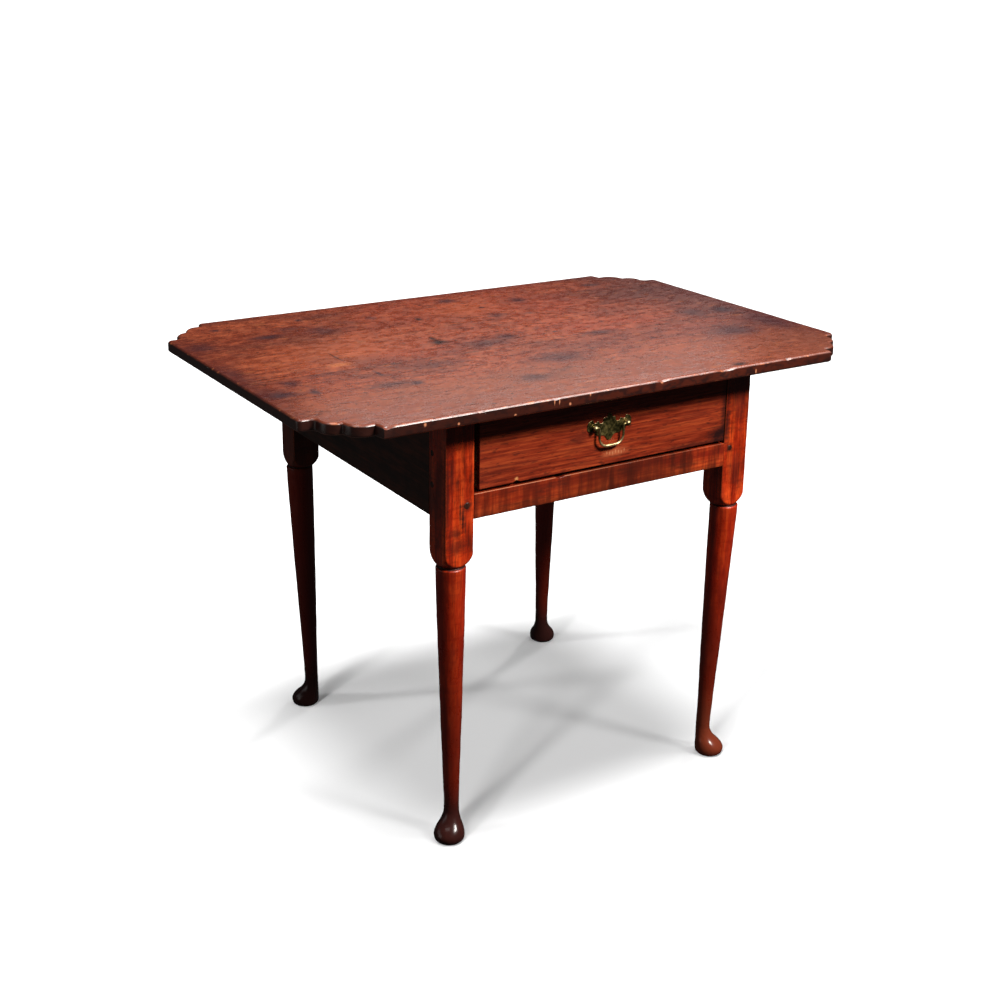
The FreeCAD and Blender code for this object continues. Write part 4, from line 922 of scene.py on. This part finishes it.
# Drawer.  A pine front with half-blind dovetails, thin pine sides and back, and a feathered
# bottom.  Only the front is finished; it is rubbed light below the pull and chipped at its foot.
def from_solid(node, name):
    """A piece that starts as a copy of a solid, with its loose triangles joined up again."""
    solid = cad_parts[node]
    copy = solid.copy()
    copy.data = solid.data.copy()
    copy.parent = None
    copy.name = name
    for key in list(copy.keys()):
        del copy[key]
    bpy.context.scene.collection.objects.link(copy)
    edit(copy)
    bpy.ops.mesh.select_all(action="SELECT")
    bpy.ops.mesh.remove_doubles(threshold=CLOSE)
    bpy.ops.mesh.dissolve_limited(angle_limit=math.radians(1))
    bpy.ops.object.mode_set(mode="OBJECT")
    copy.data.materials.clear()
    return copy


front = from_solid("drawer_front", "finished_drawer_front")
low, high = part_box("drawer_front")
FRONT_ARRIS = 0.0013
RIM_WIDTH, RIM_CUTS = 0.002, 70
edit(front)


def on_front_rim(a, b):
    flat = abs(a.y - low.y) < CLOSE and abs(b.y - low.y) < CLOSE
    rims = [abs(a.x - x) < CLOSE and abs(b.x - x) < CLOSE for x in (low.x, high.x)]
    rims += [abs(a.z - z) < CLOSE and abs(b.z - z) < CLOSE for z in (low.z, high.z)]
    return flat and any(rims)


pick_edges(front, on_front_rim)
bpy.ops.mesh.subdivide(number_cuts=RIM_CUTS)
pick_edges(front, on_front_rim)
bpy.ops.mesh.bevel(offset=FRONT_ARRIS, segments=3, affect="EDGES")
bpy.ops.object.mode_set(mode="OBJECT")


def near_front_rim(point):
    within = (low.x + RIM_WIDTH <= point.x <= high.x - RIM_WIDTH
              and low.z + RIM_WIDTH <= point.z <= high.z - RIM_WIDTH)
    return point.y < low.y + RIM_WIDTH and not within


wear(front, "front_wear", 0.0007, 0.01, near_front_rim)
chip(front, (-0.155, low.y, low.z), 0.005, (0, 0.0014, 0.002), 2)
smooth(front, 40)

FRONT_TONES = [(0.17, 0.017, 0.006), (0.3, 0.034, 0.011), (0.42, 0.062, 0.017)]
front_wood = Wood("finished_pine_front", "X", FRONT_TONES, figure=40, shares=(0.15, 0.3, 0.55),
                  mottling=(22, 130))
tree = front_wood.tree
lines = fade(tree, front_wood.streaks(9, 260, 3.0, 0.65), 0.5, 0.62)
front_wood.lay(lines, (0.11, 0.015, 0.008), 0.48)
pits = fade(tree, front_wood.streaks(60, 300, 2.0, 0.5), 0.58, 0.66)
front_wood.lay(pits, KNOT, 0.5)
grime = fade(tree, front_wood.streaks(6, 22, 5.0, 0.65), 0.52, 0.7)
front_wood.lay(grime, (0.08, 0.014, 0.01), 0.32)
# Painted shadow of the top's overhang across the upper part of the drawer front.
overhang_painted_shadow = fade(tree, front_wood.axis("Z"), 0.61, 0.655)
front_wood.lay(overhang_painted_shadow, (0.06, 0.01, 0.006), 0.45)
# Marks: place along X and Z, reach along X and Z, tone, strength.
FRONT_MARKS = [
    (0.213, 0.565, 0.024, 0.019, KNOT, 0.97), (0.222, 0.605, 0.008, 0.06, KNOT, 0.75),
    (0.16, 0.557, 0.06, 0.005, KNOT, 0.6), (-0.05, 0.6, 0.02, 0.012, (0.05, 0.01, 0.008), 0.5),
    (0.016, 0.57, 0.024, 0.008, (0.62, 0.18, 0.075), 0.6),
    (-0.155, 0.559, 0.0034, 0.0034, (0.82, 0.36, 0.13), 0.9),
]
FRONT_SPREAD = 1.3
for x, z, wide, tall, tone, strength in FRONT_MARKS:
    reach = (wide * FRONT_SPREAD, 1, tall * FRONT_SPREAD)
    front_wood.mark((x, low.y, z), reach, tone, strength)
# Seven short scratches where the bail has knocked.
for number in range(7):
    front_wood.mark((0.001 + 0.0052 * number, low.y, 0.5715 - 0.0011 * (number % 3)),
                    (0.0009, 1, 0.0042), (0.8, 0.36, 0.17), 0.75, 0.5, 0.8)
front_wood.lay(front_wood.arris(), (0.1, 0.018, 0.01), 0.5)
# Its back was never finished.
backward = fade(tree, add_node(tree, "SeparateXYZ", {
    0: add_node(tree, "NewGeometry").outputs["Normal"]}).outputs["Y"], 0.3, 0.7)
front_wood.lay(backward, (0.27, 0.155, 0.078), 0.9)
front.data.materials.append(front_wood.finish(bump=0.3, depth=0.0008, specular=0.3))
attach(front, "drawer")
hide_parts("drawer_front")

bare_x = Wood("bare_pine_along_x", "X", [(0.2, 0.11, 0.052), (0.33, 0.195, 0.098), (0.46, 0.29, 0.16)], 40)
bare_x_finish = bare_x.finish(bump=0.5, depth=0.001)
for name, finish in (("drawer_side_left", bare_y_finish), ("drawer_side_right", bare_y_finish),
                     ("drawer_back", bare_x_finish), ("drawer_bottom", bare_x_finish)):
    dress(name, finish)


# Pull.  A cast brass back plate filed to a bat's wing outline, two turned posts with ball heads
# that run through the front to square nuts, and a bail, thick in its grip, hung between them.
PLATE_ARRIS = 0.00045
plate = from_solid("pull_plate", "filed_pull_plate")
low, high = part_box("pull_plate")
edit(plate)
pick_edges(plate, lambda a, b: abs(a.y - low.y) < CLOSE and abs(b.y - low.y) < CLOSE)
bpy.ops.mesh.bevel(offset=PLATE_ARRIS, segments=2, affect="EDGES")
bpy.ops.object.mode_set(mode="OBJECT")
smooth(plate, 35)
OLIVE_BRASS = [(0.04, 0.038, 0.013), (0.12, 0.1, 0.03), (0.27, 0.21, 0.075)]
brass, tree, shader, colour = metal("olive_brass", OLIVE_BRASS, 0.85, (0.3, 0.55))
# Upward facing rims are laid bright: partly filed, worn brass and partly painted highlight.
facing = add_node(tree, "SeparateXYZ", {0: add_node(tree, "NewGeometry").outputs["Normal"]}).outputs
filed = both(tree, fade(tree, sums(tree, "ABSOLUTE", facing["Y"]), 0.97, 0.75),
             fade(tree, facing["Z"], 0.0, 0.5))
tree.links.new(mixed(tree, sums(tree, "MULTIPLY", filed, 0.8), colour, (0.85, 0.66, 0.36)),
               shader.inputs["Base Color"])
plate.data.materials.append(brass)
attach(plate, "drawer")
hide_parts("pull_plate")
for name in ("pull_post_left", "pull_post_right", "pull_nut_left", "pull_nut_right"):
    dress(name, brass)

PULL_X, PULL_Y, PULL_Z = 0.00325, -0.2765, 0.614
ARM_X, PIN_X, BAIL_DROP, BAIL_BEND, BAIL_ELBOW = 0.0215, 0.0308, 0.029, 0.014, 0.0028
BAIL_ROD, BAIL_GRIP, BAIL_PIN = 0.0018, 0.0024, 0.0015
ELBOW_X = -ARM_X - BAIL_ELBOW
ELBOW_STEPS, BEND_STEPS = 6, 10
# The left half of its middle line: along X, along Z, radius.
route = [(-PIN_X, 0.0, BAIL_PIN), (ELBOW_X - 0.0002, 0.0, BAIL_PIN), (ELBOW_X, 0.0, BAIL_ROD)]
for step in range(1, ELBOW_STEPS + 1):
    angle = step / ELBOW_STEPS * math.pi / 2
    route.append((ELBOW_X + BAIL_ELBOW * math.sin(angle), BAIL_ELBOW * (math.cos(angle) - 1), BAIL_ROD))
for step in range(BEND_STEPS + 1):
    share = step / BEND_STEPS
    angle = share * math.pi / 2
    route.append((-ARM_X + BAIL_BEND * (1 - math.cos(angle)), -BAIL_DROP + BAIL_BEND * (1 - math.sin(angle)),
                  BAIL_ROD + (BAIL_GRIP - BAIL_ROD) * share * share * 0.8))
route.append((0.0, -BAIL_DROP, BAIL_GRIP))
route += [(-x, z, thick) for x, z, thick in reversed(route[:-1])]
spine = bpy.data.curves.new("bail_spine", "CURVE")
spine.dimensions = "3D"
spine.bevel_depth = 1.0
spine.bevel_resolution = 5
spine.use_fill_caps = True
run = spine.splines.new("POLY")
run.points.add(len(route) - 1)
for point, (x, z, thick) in zip(run.points, route):
    point.co = (PULL_X + x, PULL_Y, PULL_Z + z, 1)
    point.radius = thick
bail = bpy.data.objects.new("forged_bail", spine)
bpy.context.scene.collection.objects.link(bail)
pick(bail)
bpy.ops.object.convert(target="MESH")
smooth(bail, 50)
RUBBED_BRASS = [(0.12, 0.1, 0.04), (0.32, 0.25, 0.1), (0.6, 0.46, 0.21)]
bail_brass, tree, shader, colour = metal("rubbed_brass", RUBBED_BRASS, 0.9, (0.3, 0.46))
place = add_node(tree, "TexCoord").outputs["Object"]
lift = add_node(tree, "SeparateXYZ", {0: place}).outputs["Z"]
# The grip is laid bright: partly brass rubbed by hands and partly painted highlight.
rubbed = fade(tree, lift, PULL_Z - 0.014, PULL_Z - 0.026)
tree.links.new(mixed(tree, rubbed, mixed(tree, 0.35, colour, (0.09, 0.085, 0.032)), (0.92, 0.7, 0.36)),
               shader.inputs["Base Color"])
bail.data.materials.append(bail_brass)
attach(bail, "bail")
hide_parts("bail")
